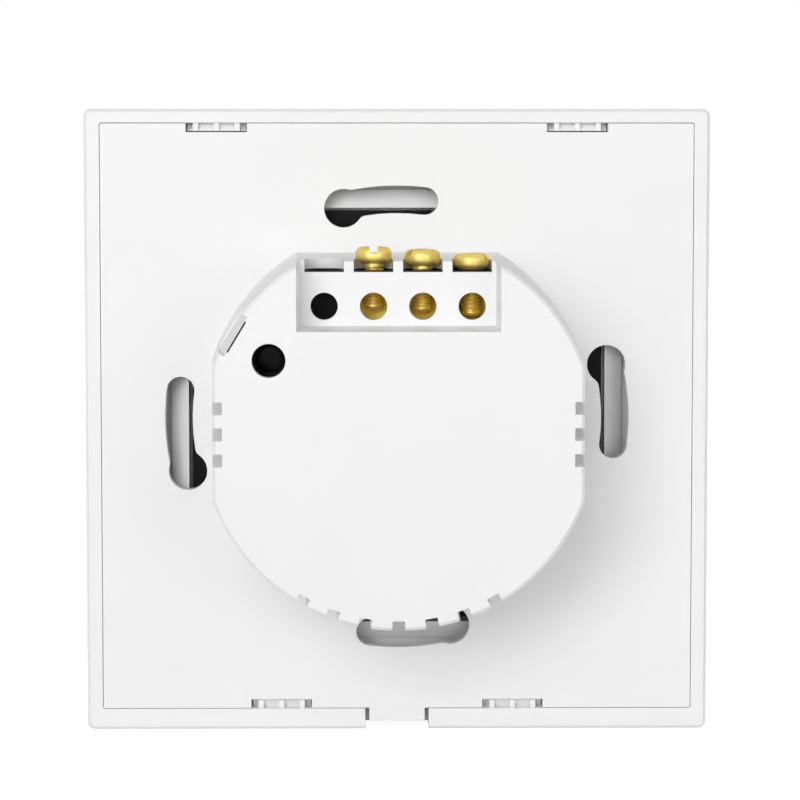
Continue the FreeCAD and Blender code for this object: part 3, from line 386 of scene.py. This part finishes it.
def revolved(radii, heights, columns=96):
    """A profile turned about an axis: (r cos a, r sin a, height) for angles a all the way round."""
    angle = np.linspace(0, 2 * math.pi, columns + 1)[None, :]
    r = np.asarray(radii, float)[:, None]
    h = np.asarray(heights, float)[:, None] + 0 * angle
    return np.stack([r * np.cos(angle), r * np.sin(angle), h], -1) * MM


def boxed(half_a, half_b, radius, insets, levels, steps=8):
    """A rounded rectangle carried along an axis and drawn in by an inset at each level. The first
    and last rings are closed onto the middle."""
    inset = np.asarray(insets, float)[:, None]
    turn = np.append(np.arange(4).repeat(steps + 1), 0)
    angle = np.append(np.tile(np.linspace(0, 1, steps + 1), 4), 0.0) + turn
    side_a = np.array([1, -1, -1, 1])[turn]
    side_b = np.array([1, 1, -1, -1])[turn]
    corner = np.maximum(radius - inset, 0)
    a = side_a * (half_a - inset - corner) + corner * np.cos(angle * math.pi / 2)
    b = side_b * (half_b - inset - corner) + corner * np.sin(angle * math.pi / 2)
    sheet = np.stack([a, b, np.asarray(levels, float)[:, None] + 0 * a], -1)
    caps = sheet[[0, -1]] * [0.0, 0.0, 1.0]
    return np.concatenate([caps[:1], sheet, caps[1:]]) * MM


def along_y(sheet, middle_x, middle_z):
    """A sheet whose axis is its third coordinate, turned so that this axis is Y, and moved to a
    place in mm."""
    return np.stack([sheet[..., 0] + middle_x * MM, sheet[..., 2],
                     sheet[..., 1] + middle_z * MM], -1)


def moved(sheet, x=0.0, y=0.0, z=0.0):
    """A sheet moved by distances in mm."""
    return sheet + np.array([x, y, z]) * MM


def threaded(radius, pitch, depth, low, high, fade):
    """Gives a function for the radius at a height and angle of a V thread. The radius is the
    crest's, less the depth times a V of the height over the pitch less the turns. The crest and
    the root are a little flat, and the thread fades out towards both ends."""
    steep, flat = 1.2, 0.1

    def at(height, angle):
        turns = height / pitch - angle / (2 * math.pi)
        valley = np.clip(steep * np.abs(2 * (turns - np.floor(turns)) - 1) - flat, 0, 1)
        starts = np.clip((height - low) / fade, 0, 1)
        ends = np.clip((high - height) / fade, 0, 1)
        return radius - depth * valley * starts * ends
    return at


def slotted_screw(sizes, radius, length):
    """Sheets of a slotted cheese-head screw with its tip at the origin, its axis up and its slot
    along Y. The top is a height over a disc: columns stand at x = R cos a, doubled at the slot's
    walls, and rows at y = c sin b, with c the half chord at x. The height falls from the crown with
    the square of the radius and then round a quarter circle at the rim, and is cut down to the
    slot's floor between the walls. The sides go on from the disc's edge down to the tip."""
    half = sizes.slot_width / MM / 2
    floor = length - sizes.slot_depth / MM
    round_off, crown, lip = 0.85, 0.12, 0.07
    # The head takes the top 2.6 mm. Its lowest 0.3 mm is a neck as thin as the shank, and from
    # there a quarter ellipse leads out to the full radius, 1.25 mm up
    shank, head, neck, widest, tip = 1.375, 2.6, 0.3, 1.25, 0.4
    even = radius * np.cos(np.linspace(0, math.pi, 49))
    over_lip = half + lip * np.array([1.0, 0.6, 0.3, 0.1, 0.0])
    right = np.concatenate([even[even > half + lip], over_lip])
    between = np.concatenate([[half], even[np.abs(even) < half], [-half]])
    x = np.concatenate([right, between, -right[::-1]])
    in_slot = np.zeros(x.size, bool)
    in_slot[right.size:right.size + between.size] = True
    chord = np.sqrt(np.maximum(radius ** 2 - x ** 2, 0))
    y = chord * np.sin(np.linspace(-math.pi / 2, math.pi / 2, 49))[:, None]
    reach = np.minimum(np.hypot(x, y), radius)
    flat = radius - round_off
    over = np.clip(reach - flat, 0, round_off)
    z = (length - crown * np.minimum(reach / flat, 1) ** 2 - round_off
         + np.sqrt(round_off ** 2 - over ** 2))
    rim = length - crown - round_off
    drop = lip - np.sqrt(lip ** 2 - np.clip(half + lip - np.abs(x), 0, lip) ** 2)
    z = np.where(in_slot, np.minimum(z, floor), z - drop)
    top = np.stack([x + 0 * y, y, np.maximum(z, rim)], -1) * MM
    ring = np.stack([np.concatenate([x, x[-2::-1]]),
                     np.concatenate([chord, -chord[-2::-1]])]) / radius
    angle = np.mod(np.arctan2(ring[1], ring[0]), 2 * math.pi)
    under = length - head
    bend = np.linspace(math.pi / 2, 0, 10)
    step = 0.06
    threaded_part = np.append(np.arange(under + neck - step, tip, -step), tip)
    heights = np.concatenate([[rim], under + neck + (widest - neck) * (1 - np.cos(bend)),
                              threaded_part, [0.0, 0.0]])
    head_radii = np.concatenate([[radius], shank + (radius - shank) * np.sin(bend)])
    thread = threaded(shank, sizes.thread_pitch / MM, sizes.thread_depth / MM, low=tip,
                      high=under, fade=0.5)(threaded_part[:, None], angle[None, :])
    radii = np.concatenate([head_radii[:, None] + 0 * angle, thread,
                            np.array([[shank - tip], [0.0]]) + 0 * angle])
    side = np.stack([radii * ring[0], radii * ring[1], heights[:, None] + 0 * angle], -1) * MM
    return [top, side]


def cross_screw(sizes, head_radius, head_height, shank, length):
    """Sheets of a pan-head screw with a cross recess, its seat at height 0 and its axis up. The
    head is a dome of revolution, and inside the cross its height is lowered by the recess, which
    is deep where the smaller of |x| and |y| is under the arm's half width and the larger is
    under the arm's reach."""
    arm_half, arm_slope, arm_reach, end_slope, recess = 0.26, 0.1, 0.85, 0.18, 0.55
    # The dome falls by a share of its height, and the edge of its seat is broken up and in
    fall, edge_up, edge_in = 0.35, 0.12, 0.08
    first, step, taper, point = 0.05, 0.08, 1.2, 0.15
    reach = np.concatenate([np.linspace(0, head_radius * 0.93, 30), [head_radius]])
    angle = np.linspace(0, 2 * math.pi, 97)[None, :]
    r = reach[:, None]
    x, y = r * np.cos(angle), r * np.sin(angle)
    near, far = np.minimum(np.abs(x), np.abs(y)), np.maximum(np.abs(x), np.abs(y))
    arm = (np.clip((arm_half - near) / arm_slope, 0, 1)
           * np.clip((arm_reach - far) / end_slope, 0, 1))
    dome = head_height * (1 - fall * (r / head_radius) ** 2.5)
    top = np.stack([x, y, dome - recess * arm], -1) * MM
    threaded_part = np.append(np.arange(-first, taper - length, -step), taper - length)
    heights = np.concatenate([[dome[-1, 0], edge_up, 0.0], threaded_part,
                              [point - length, -length, -length]])
    head_radii = np.array([[head_radius], [head_radius], [head_radius - edge_in]])
    thread = threaded(shank, sizes.tapping_pitch / MM, depth=0.2, low=1.0 - length, high=-0.3,
                      fade=0.4)(threaded_part[:, None], angle)
    point_radii = np.array([[shank * 0.35], [shank * 0.15], [0.0]])
    radii = np.concatenate([head_radii + 0 * angle, thread, point_radii + 0 * angle])
    side = np.stack([radii * np.cos(angle), radii * np.sin(angle),
                     heights[:, None] + 0 * angle], -1) * MM
    return [top, side]


def lidded(height, edge, rim, sunk):
    """Insets and heights of a case: a small break at its foot, a straight side, a quarter-round
    top edge, and a flat rim round a sunk lid."""
    foot = 0.06
    into, along = quarter(edge, 6)
    insets = np.concatenate([[foot, 0.0], into, [rim, rim + sunk]])
    return insets, np.concatenate([[0.0, foot], height - edge + along, [height, height - sunk]])


def bent_wire(x, from_z, leg_z, y, end_y, radius, bend):
    """A round wire that leaves along Z at height y, turns a quarter circle and ends along Y: a
    ring of this radius carried along the path, square to it, and closed at both ends."""
    side = 1 if leg_z > from_z else -1
    turn = np.concatenate([[0.0], np.linspace(0, math.pi / 2, 9), [math.pi / 2]])
    path_z = np.concatenate([[from_z], leg_z - side * bend * (1 - np.sin(turn[1:-1])), [leg_z]])
    path_y = np.concatenate([[y], y + bend * (1 - np.cos(turn[1:-1])), [end_y]])
    angle = np.linspace(0, 2 * math.pi, 17)
    ring = radius * np.concatenate([[0.0], np.ones(turn.size), [0.0]])[:, None]
    path_z, path_y, turn = (np.concatenate([row[:1], row, row[-1:]])[:, None]
                            for row in (path_z, path_y, turn))
    return np.stack([x + ring * np.cos(angle), path_y + ring * np.sin(angle) * np.cos(turn),
                     path_z - side * ring * np.sin(angle) * np.sin(turn)], -1) * MM


def standing(node, corner, insets, heights):
    """Sheet of a case in place of a solid that stands on a board at its high Y end."""
    low, high, middle = extent(node)
    sheet = boxed((high[0] - low[0]) / 2, (high[2] - low[2]) / 2, corner, insets,
                  high[1] - heights, steps=5)
    return along_y(sheet, middle[0], middle[2])


def chip(x, z, y, wide, tall, height, edge=0.06):
    """Sheet of a small moulded part that stands on the touch board, towards +Y."""
    insets, heights = lidded(height, edge, rim=2 * edge, sunk=edge / 2)
    return along_y(boxed(wide / 2, tall / 2, 1.5 * edge, insets, y + heights, steps=3), x, z)


# What a user may change

def colour(name, description, text):
    """A colour property whose default is an sRGB hex colour."""
    return FloatVectorProperty(name=name, description=description, subtype="COLOR", size=4,
                               min=0.0, max=1.0, default=srgb(text))


def size(name, description, mm):
    """A length property whose default is in mm."""
    return FloatProperty(name=name, description=description, default=mm * MM, min=0.0,
                         unit="LENGTH", precision=5)


def lamp_power(name, place, watts):
    """A property for the power of the lamp at a place."""
    return FloatProperty(name=name, description=f"Power of the lamp {place}", default=watts,
                         min=0.0, unit="POWER")


class SwitchColours(bpy.types.PropertyGroup):
    """The colours that a user would change."""
    white_plastic: colour("White plastic", "Plate, rear body, frame and carrier", "F6F6F6")
    black_plastic: colour("Black plastic", "Terminal block, relay, sockets and sleeves", "0E0E0E")
    enamel: colour("Enamel", "The colour seen through the front glass", "F4F6F5")
    brass: colour("Turned brass", "Terminal screws", "E6CE76")
    # The clamps' yellow is lighter than the screws': painted light for the clamps, which sit deep
    # in dim bores
    brass_bar: colour("Sawn brass", "Terminal clamps", "FBE274")


class SwitchSizes(bpy.types.PropertyGroup):
    """Sizes of the pieces that are made here."""
    slot_width: size("Slot width", "Width of the slot in a terminal screw's head", 1.08)
    slot_depth: size("Slot depth", "Depth of that slot", 0.95)
    thread_pitch: size("Thread pitch", "From turn to turn of a terminal screw's thread", 0.5)
    thread_depth: size("Thread depth", "From crest to root of that thread", 0.28)
    tapping_pitch: size("Tapping pitch", "From turn to turn of a carrier screw's thread", 0.7)
    glass_edge: size("Glass edge", "Radius of the glass plate's polished front edge", 0.5)
    glass_corner: size("Glass corner", "Radius of the glass plate's corners", 1.0)
    ring: size("Indicator ring", "Diameter of the ring over the indicator lights", 12.0)
    collar_depth: size("Collar depth", "From the can's end face to the end of its sleeve", 4.6)
    collar_wall: size("Collar wall", "Thickness of the can's sleeve", 0.2)
    lead: size("Lead", "Diameter of the leads of the varistor and the resistor", 0.6)
    flange: size("Flange", "Thickness of the coil former's end flanges", 0.7)


class SwitchStage(bpy.types.PropertyGroup):
    """The camera, the lamps and the floor."""
    lens: FloatProperty(name="Lens", description="Focal length", default=126.5, min=10.0,
                        unit="CAMERA")
    rise: FloatProperty(name="Camera height", unit="LENGTH", default=0.03595,
                        description="Height of the camera over the plate's middle")
    distance: FloatProperty(name="Camera distance", description="From the camera to the plate",
                            default=0.3867, min=0.1, unit="LENGTH")
    key: lamp_power("Key lamp", "at the upper left, behind the switch", 4.6)
    low_left: lamp_power("Low left lamp", "at the lower left, behind the switch", 1.65)
    low_right: lamp_power("Low right lamp", "at the lower right, behind the switch", 2.8)
    front: lamp_power("Front lamp", "before the glass", 8.5)
    world: FloatProperty(name="Room light", description="Level of the light from all around",
                         default=0.34, min=0.0, subtype="FACTOR")


# The stage

CAMERA_X = -0.00363                # the camera stands a little left of the plate's middle
CAMERA_AIM = (0.00041, 0.0, 0.00908)
CAMERA_SHIFT = -0.06               # moves the picture up in the photograph's frame
FLOOR_GAP = 0.05 * MM
FLOOR_HALF = 4.0                   # half of the floor's side, in metres


def seen_directly(tree):
    """A node that gives 1 where the camera sees a thing itself or by way of metal or glass, and
    0 where the thing only lights others."""
    ray = add(tree, "ShaderNodeLightPath").outputs
    seen = ray["Is Camera Ray"]
    for kind in ("Is Glossy Ray", "Is Transmission Ray"):
        seen = add(tree, "ShaderNodeMath", {0: seen, 1: ray[kind]}, operation="MAXIMUM")
    return seen


def look(obj, at):
    """Turns a lamp or camera so that its -Z axis points at a place."""
    obj.rotation_euler = (Vector(at) - obj.location).to_track_quat("-Z", "Y").to_euler()


def softbox(name, place, power, side):
    """A square lamp that points at the plate's middle. The camera doesn't see the lamp."""
    data = bpy.data.lights.new(name, "AREA")
    data.energy = power
    data.shape = "RECTANGLE"
    data.size = data.size_y = side
    lamp = bpy.data.objects.new(name, data)
    bpy.context.scene.collection.objects.link(lamp)
    lamp.location = place
    look(lamp, (0.0, 0.0, 0.0))
    lamp.visible_camera = False


class WALLSWITCH_OT_stage(bpy.types.Operator):
    """Sets the camera at the photograph's angle, with soft lamps and a white floor"""
    bl_idname = "wallswitch.stage"
    bl_label = "Stage"

    def execute(self, context):
        stage = context.scene.switch_stage
        camera = bpy.data.objects.new("camera", bpy.data.cameras.new("camera"))
        context.scene.collection.objects.link(camera)
        camera.data.lens = stage.lens
        camera.data.sensor_width = 36.0
        camera.data.clip_start = 0.01
        camera.data.shift_y = CAMERA_SHIFT
        camera.location = (CAMERA_X, -stage.distance, stage.rise)
        look(camera, CAMERA_AIM)
        context.scene.camera = camera
        softbox("key_softbox", (-0.30, -1.0, 0.32), stage.key, side=0.5)
        softbox("low_left_softbox", (-0.5, -1.0, -0.02), stage.low_left, side=0.6)
        softbox("low_right_softbox", (0.5, -1.0, -0.02), stage.low_right, side=0.6)
        softbox("front_softbox", (0.4, 1.1, 0.45), stage.front, side=0.8)
        self.floor()
        self.room(context.scene, stage.world)
        context.scene.view_settings.view_transform = "Standard"
        return {"FINISHED"}

    def floor(self):
        """A flat square under the object. It lights things as pale paper, and is seen as white,
        a little darker where a shadow falls."""
        low = CAD_BOX[0][2] - FLOOR_GAP
        corners = [(x * FLOOR_HALF, y * FLOOR_HALF, low)
                   for x, y in ((-1, -1), (1, -1), (1, 1), (-1, 1))]
        mesh = bpy.data.meshes.new("floor")
        mesh.from_pydata(corners, [], [(0, 1, 2, 3)])
        floor = bpy.data.objects.new("floor", mesh)
        bpy.context.scene.collection.objects.link(floor)
        material = bpy.data.materials.new("paper_backdrop_white")
        tree = cleared(material)
        paper = add(tree, "ShaderNodeBsdfPrincipled", {"Base Color": srgb("E6E6E6"),
                                                       "Roughness": 0.9})
        shade = add(tree, "ShaderNodeBsdfDiffuse", {"Color": srgb("A0A0A0")})
        glow = add(tree, "ShaderNodeEmission", {"Color": (1, 1, 1, 1), "Strength": 0.9})
        both = add(tree, "ShaderNodeAddShader", {0: shade, 1: glow})
        mix = add(tree, "ShaderNodeMixShader", {0: seen_directly(tree), 1: paper, 2: both})
        add(tree, "ShaderNodeOutputMaterial", {"Surface": mix})
        mesh.materials.append(material)

    def room(self, scene, level):
        """A white room: full white where the camera, metal or glass sees it."""
        world = bpy.data.worlds.new("room")
        tree = cleared(world)
        strength = add(tree, "ShaderNodeMapRange", {"Value": seen_directly(tree),
                                                    "To Min": level, "To Max": 1.0})
        back = add(tree, "ShaderNodeBackground", {"Color": (1, 1, 1, 1), "Strength": strength})
        add(tree, "ShaderNodeOutputWorld", {"Surface": back})
        scene.world = world


class WALLSWITCH_OT_finishes(bpy.types.Operator):
    """Gives every solid of the switch its real material"""
    bl_idname = "wallswitch.finishes"
    bl_label = "Finishes"

    def execute(self, context):
        for name, node in NODES.items():
            for holder in node.material_slots:
                slot = holder.material.name.split(".")[0]
                sawn = name.startswith("terminal_clamp")
                holder.material = finish("sawn_brass" if sawn else slot)
        return {"FINISHED"}


class WALLSWITCH_OT_terminal_screws(bpy.types.Operator):
    """Makes the slotted brass screws, each turned as it was left"""
    bl_idname = "wallswitch.terminal_screws"
    bl_label = "Terminal screws"

    def execute(self, context):
        slot_turns = (0.0, -55.0, 62.0)
        for k, turn in enumerate(slot_turns, 1):
            low, high, middle = extent(f"terminal_screw_{k}")
            sheets = slotted_screw(context.scene.switch_sizes, (high[0] - low[0]) / 2,
                                   high[2] - low[2])
            mesh = joined(f"slotted_screw_{k}", sheets, crease=30.0)
            points = np.zeros(len(mesh.vertices) * 3, np.float32)
            mesh.vertices.foreach_get("co", points)
            points = points.reshape(-1, 3) / MM
            path = np.hypot(points[:, 0], points[:, 1]) + points[:, 2]
            mesh.attributes.new("tool_path", "FLOAT", "POINT").data.foreach_set("value", path)
            place = Matrix.Translation((middle[0] * MM, middle[1] * MM, low[2] * MM))
            mesh.transform(place @ Matrix.Rotation(math.radians(turn), 4, "Z"))
            piece(f"slotted_screw_{k}", mesh, f"screw_{k}", "brass", finish("brass"),
                  f"terminal_screw_{k}")
        return {"FINISHED"}


class WALLSWITCH_OT_front_glass(bpy.types.Operator):
    """Makes the front glass plate with its polished round edge"""
    bl_idname = "wallswitch.front_glass"
    bl_label = "Front glass"

    def execute(self, context):
        sizes = context.scene.switch_sizes
        low, high, middle = extent("glass_panel")
        edge = sizes.glass_edge / MM
        rear_edge = 0.12
        into, along = quarter(edge)
        insets = np.concatenate([[rear_edge, 0.0], into])
        levels = np.concatenate([[low[1], low[1] + rear_edge], high[1] - edge + along])
        sheet = boxed((high[0] - low[0]) / 2, (high[2] - low[2]) / 2, sizes.glass_corner / MM,
                      insets, levels)
        mesh = joined("front_glass", [along_y(sheet, middle[0], middle[2])], crease=40.0)
        piece("front_glass", mesh, "front_panel", "glass", finish("glass"), "glass_panel")
        return {"FINISHED"}


class WALLSWITCH_OT_can(bpy.types.Operator):
    """Makes the round capacitor can inside its sleeve, whose open end shows at the rear"""
    bl_idname = "wallswitch.can"
    bl_label = "Capacitor can"

    def execute(self, context):
        sizes = context.scene.switch_sizes
        low, high, middle = extent("reservoir_capacitor")
        outer = (high[0] - low[0]) / 2
        wall, deep, round_off = sizes.collar_wall / MM, sizes.collar_depth / MM, 0.3
        inner, face = outer - wall, low[1] + deep
        lip = np.linspace(0, math.pi, 9)
        # From the middle of the seated end, over the sleeve and its rolled lip, down into the
        # collar, and over the can's crimped edge to the middle of its end face
        radii = np.concatenate([[0.0, outer - round_off, outer],
                                outer - wall / 2 * (1 - np.cos(lip)),
                                [inner, inner - 0.1, inner - 0.35, inner - 0.5, 0.9, 0.0]])
        levels = np.concatenate([[high[1], high[1], high[1] - round_off],
                                 low[1] + wall / 2 * (1 - np.sin(lip)),
                                 face + np.array([0.3, 0.05, 0.0, 0.12, 0.1, 0.06])])
        sheet = along_y(revolved(radii, levels), middle[0], middle[2])
        piece("can_in_sleeve", joined("can_in_sleeve", [sheet], crease=40.0), "base",
              "black_plastic", finish("black_sleeve"), "reservoir_capacitor")
        return {"FINISHED"}


class WALLSWITCH_OT_carrier_screws(bpy.types.Operator):
    """Makes the four tapping screws of the carrier, with a cross recess in each head"""
    bl_idname = "wallswitch.carrier_screws"
    bl_label = "Carrier screws"

    def execute(self, context):
        low, high, _ = extent("carrier_screws")
        head, tall, shank = 1.6, 1.0, 0.8
        seat = high[1] - tall
        screw = cross_screw(context.scene.switch_sizes, head, tall, shank, seat - low[1])
        sheets = [moved(along_y(sheet, x, z), y=seat) for x in (low[0] + head, high[0] - head)
                  for z in (low[2] + head, high[2] - head) for sheet in screw]
        piece("cross_screws", joined("cross_screws", sheets, crease=40.0), "base", "steel",
              finish("steel"), "carrier_screws")
        return {"FINISHED"}


class WALLSWITCH_OT_coil(bpy.types.Operator):
    """Makes the transformer's taped coil between the flanges of its former"""
    bl_idname = "wallswitch.coil"
    bl_label = "Taped coil"

    def execute(self, context):
        low, high, middle = extent("transformer_winding")
        half = (high - low) / 2
        flange = context.scene.switch_sizes.flange / MM
        deep, edge, corner = 0.7, 0.15, 0.9
        tape_inset, bulge, tape, turns = 0.55, 0.35, 0.08, 3.2
        along = np.linspace(0, 1, 25)
        # The tape bulges as a flat arch between the flanges, with a step at each of its laps
        arch = tape_inset - bulge * (1 - (2 * along - 1) ** 4)
        laps = tape * np.floor(along * turns % 1 + 0.5)
        insets = np.concatenate([[edge, 0.0, 0.0, edge, deep], arch - laps,
                                 [deep, edge, 0.0, 0.0, edge]])
        span = high[2] - low[2] - 2 * flange
        rims = np.array([0.0, edge, flange - edge, flange, flange])
        levels = np.concatenate([low[2] + rims, low[2] + flange + span * along,
                                 high[2] - rims[::-1]])
        sheet = moved(boxed(half[0], half[1], corner, insets, levels, steps=6), middle[0],
                      middle[1])
        piece("taped_coil", joined("taped_coil", [sheet], crease=30.0), "base", "winding_tape",
              finish("winding_tape"), "transformer_winding")
        return {"FINISHED"}


class WALLSWITCH_OT_cased_parts(bpy.types.Operator):
    """Makes the relay, the film capacitor, the rectifier, the radio module and its shield"""
    bl_idname = "wallswitch.cased_parts"
    bl_label = "Cased parts"

    def execute(self, context):
        # The relay's base plate is a little smaller than its cover, with a groove between them
        plate, cover, groove = 1.3, 1.6, 0.4
        insets, heights = lidded(self.tall("relay") - cover, edge=0.5, rim=1.3, sunk=0.15)
        insets = np.concatenate([[0.2, 0.1, 0.1, groove, groove], insets])
        heights = np.concatenate([[0.0, 0.1, plate, plate, cover], heights + cover])
        self.cased("relay", "black_plastic", 0.6, insets, heights)
        for node, slot, corner, edge, rim, sunk in (
                ("film_capacitor", "yellow_film", 0.7, 0.6, 1.0, 0.08),
                ("bridge_rectifier", "black_plastic", 0.5, 0.25, 0.5, 0.1),
                ("wifi_shield", "steel", 0.6, 0.35, 1.1, 0.12),
                ("wifi_module", "black_board", 0.4, 0.05, 0.3, 0.02)):
            self.cased(node, slot, corner, *lidded(self.tall(node), edge, rim, sunk))
        return {"FINISHED"}

    def tall(self, node):
        """How far a solid stands off its board, in mm."""
        low, high, _ = extent(node)
        return high[1] - low[1]

    def cased(self, node, slot, corner, insets, heights):
        """Puts a case in place of a solid."""
        mesh = joined(f"{node}_case", [standing(node, corner, insets, heights)])
        piece(f"{node}_case", mesh, "base", slot, finish(slot), node)


class WALLSWITCH_OT_leaded_parts(bpy.types.Operator):
    """Makes the coated varistor disc and the fusible resistor on their leads"""
    bl_idname = "wallswitch.leaded_parts"
    bl_label = "Leaded parts"

    def execute(self, context):
        lead = context.scene.switch_sizes.lead / MM / 2
        self.varistor(lead)
        self.resistor(lead)
        return {"FINISHED"}

    def varistor(self, lead):
        """The disc is a superellipse turned about Z: its radius is R cos(b)^p and its height
        h sin(b)^p. The coating runs down each lead in a short cone."""
        low, high, middle = extent("varistor")
        radius, half = (high[0] - low[0]) / 2, (high[2] - low[2]) / 2
        power, overlap = 0.45, 1.0
        around = np.linspace(-math.pi / 2, math.pi / 2, 25)
        radii = radius * np.maximum(np.cos(around), 0) ** power
        radii[[0, -1]] = 0
        levels = middle[2] + half * np.sign(around) * np.abs(np.sin(around)) ** power
        sheets = [moved(revolved(radii, levels, columns=64), middle[0], low[1] + radius)]
        start = low[1] + 2 * radius - overlap
        cone_radii = [0.0, 0.9, 0.6, lead + 0.05, lead, lead, 0.0]
        cone_levels = [start, start, start + 0.9, start + 1.7, start + 1.75, high[1], high[1]]
        wire = revolved(cone_radii, cone_levels, columns=20)
        sheets += [along_y(wire, middle[0] + side * radius / 2, middle[2]) for side in (-1, 1)]
        piece("coated_varistor", joined("coated_varistor", sheets, crease=40.0), "base",
              "blue_plastic", finish("blue_plastic"), "varistor")

    def resistor(self, lead):
        """The body is turned about Z. It swells over its end caps as the eighth power of the
        distance from its middle, and is rounded off at both ends. The leads are bent wire."""
        low, high, middle = extent("fuse_resistor")
        radius = (high[0] - low[0]) / 2
        waist, rounded_from, overlap, bend, leg_gap = 0.28, 0.88, 0.3, 0.8, 0.9
        y = low[1] + radius
        reach = (high[2] - low[2]) / 2 - lead
        half = reach - leg_gap
        along = np.linspace(-1, 1, 41)
        swell = radius - waist * (1 - along ** 8)
        end = np.clip((np.abs(along) - rounded_from) / (1 - rounded_from), 0, 1)
        body = revolved(swell * np.sqrt(1 - end ** 2.5), middle[2] + half * along, columns=48)
        sheets = [moved(body, middle[0], y)]
        sheets += [bent_wire(middle[0], middle[2] + side * (half - overlap),
                             middle[2] + side * reach, y, high[1], lead, bend)
                   for side in (-1, 1)]
        piece("coated_resistor", joined("coated_resistor", sheets, crease=40.0), "base",
              "green_coat", finish("green_coat"), "fuse_resistor")


class WALLSWITCH_OT_board_parts(bpy.types.Operator):
    """Makes the lights, the small parts on the touch board and the solder on the power board"""
    bl_idname = "wallswitch.board_parts"
    bl_label = "Board parts"

    def execute(self, context):
        low, high, _ = extent("status_leds")
        side = high[2] - low[2]
        lights = [chip(x, 0.0, low[1], side, side, high[1] - low[1], edge=0.12)
                  for x in (low[0] + side / 2, high[0] - side / 2)]
        piece("chip_lights", joined("chip_lights", lights), "base", "led_white",
              finish("led_white"), "status_leds")
        self.touch_chips(low[1])
        self.solder(context.scene.switch_sizes.lead / MM / 2)
        return {"FINISHED"}

    def touch_chips(self, face):
        """Small two-ended parts on both sides of the touch board, and one touch chip on eight
        legs at its lower end."""
        spots = [(side * x, z) for side in (-1, 1)
                 for x, z in ((15.5, 5.0), (15.5, 8.0), (15.5, -5.0), (18.5, 6.5), (18.5, -7.0),
                              (11.5, 15.0))]
        end_out, chip_z, leg_pitch, leg_out = 0.65, -16.5, 1.27, 2.35
        bodies = [chip(x, z, face, wide=1.1, tall=0.8, height=0.45) for x, z in spots]
        bodies.append(chip(0.0, chip_z, face, wide=4.9, tall=3.9, height=1.1, edge=0.15))
        ends = [chip(x + side * end_out, z, face, wide=0.34, tall=0.84, height=0.48, edge=0.05)
                for x, z in spots for side in (-1, 1)]
        ends += [chip((k - 1.5) * leg_pitch, chip_z + side * leg_out, face, wide=0.4, tall=1.2,
                      height=0.22, edge=0.04) for k in range(4) for side in (-1, 1)]
        for name, sheets, slot in (("touch_chips", bodies, "black_plastic"),
                                   ("touch_chip_ends", ends, "steel")):
            piece(name, joined(name, sheets), "base", slot, finish(slot))

    def solder(self, lead):
        """Each joint is a fillet turned about Y: its radius falls with the square root of its
        height from the pad to the lead. Each stands where a lead comes through the board."""
        pad, tall = 0.85, 0.55
        face = extent("power_board")[1][1]
        rise = np.linspace(0, 1, 9)
        radii = np.concatenate([[0.0], pad - (pad - lead) * np.sqrt(rise), [lead * 0.6, 0.0]])
        levels = face + np.concatenate([[-0.05], tall * rise, [tall + 0.07, tall + 0.1]])
        fillet = revolved(radii, levels, columns=24)
        # Places across each part's box, as shares of its width and height
        places = {
            "varistor": ((0.25, 0.5), (0.75, 0.5)),
            "relay": ((0.2, 0.08), (0.8, 0.08), (0.2, 0.9), (0.8, 0.9)),
            "transformer_core": ((0.12, 0.12), (0.88, 0.12), (0.12, 0.88), (0.88, 0.88)),
            "film_capacitor": ((0.1, 0.5), (0.9, 0.5)),
            "reservoir_capacitor": ((0.25, 0.5), (0.75, 0.5)),
        }
        low, high, middle = extent("fuse_resistor")
        spots = [(middle[0], z) for z in (low[2] + lead, high[2] - lead)]
        for node, shares in places.items():
            low, high, _ = extent(node)
            spots += [(low[0] + a * (high[0] - low[0]), low[2] + b * (high[2] - low[2]))
                      for a, b in shares]
        joints = [along_y(fillet, x, z) for x, z in spots]
        piece("solder_joints", joined("solder_joints", joints, crease=40.0), "base", "steel",
              finish("steel"))


class WALLSWITCH_PT_panel(bpy.types.Panel):
    """The steps that dress the switch, in order"""
    bl_label = "Wall switch"
    bl_idname = "WALLSWITCH_PT_panel"
    bl_space_type = "VIEW_3D"
    bl_region_type = "UI"
    bl_category = "Wall switch"

    def draw(self, context):
        for step in STEPS:
            self.layout.operator(step.bl_idname)


GROUPS = {"switch_stage": SwitchStage, "switch_colours": SwitchColours, "switch_sizes": SwitchSizes}
STEPS = [WALLSWITCH_OT_stage, WALLSWITCH_OT_finishes, WALLSWITCH_OT_terminal_screws,
         WALLSWITCH_OT_front_glass, WALLSWITCH_OT_can, WALLSWITCH_OT_carrier_screws,
         WALLSWITCH_OT_coil, WALLSWITCH_OT_cased_parts, WALLSWITCH_OT_leaded_parts,
         WALLSWITCH_OT_board_parts]


def register():
    for name, group in GROUPS.items():
        bpy.utils.register_class(group)
        setattr(bpy.types.Scene, name, PointerProperty(type=group))
    for cls in STEPS + [WALLSWITCH_PT_panel]:
        bpy.utils.register_class(cls)


def unregister():
    for cls in reversed(STEPS + [WALLSWITCH_PT_panel]):
        bpy.utils.unregister_class(cls)
    for name, group in GROUPS.items():
        delattr(bpy.types.Scene, name)
        bpy.utils.unregister_class(group)


def main():
    register()
    for step in STEPS:
        area, action = step.bl_idname.split(".")
        getattr(getattr(bpy.ops, area), action)()


if __name__ == "__main__":
    main()
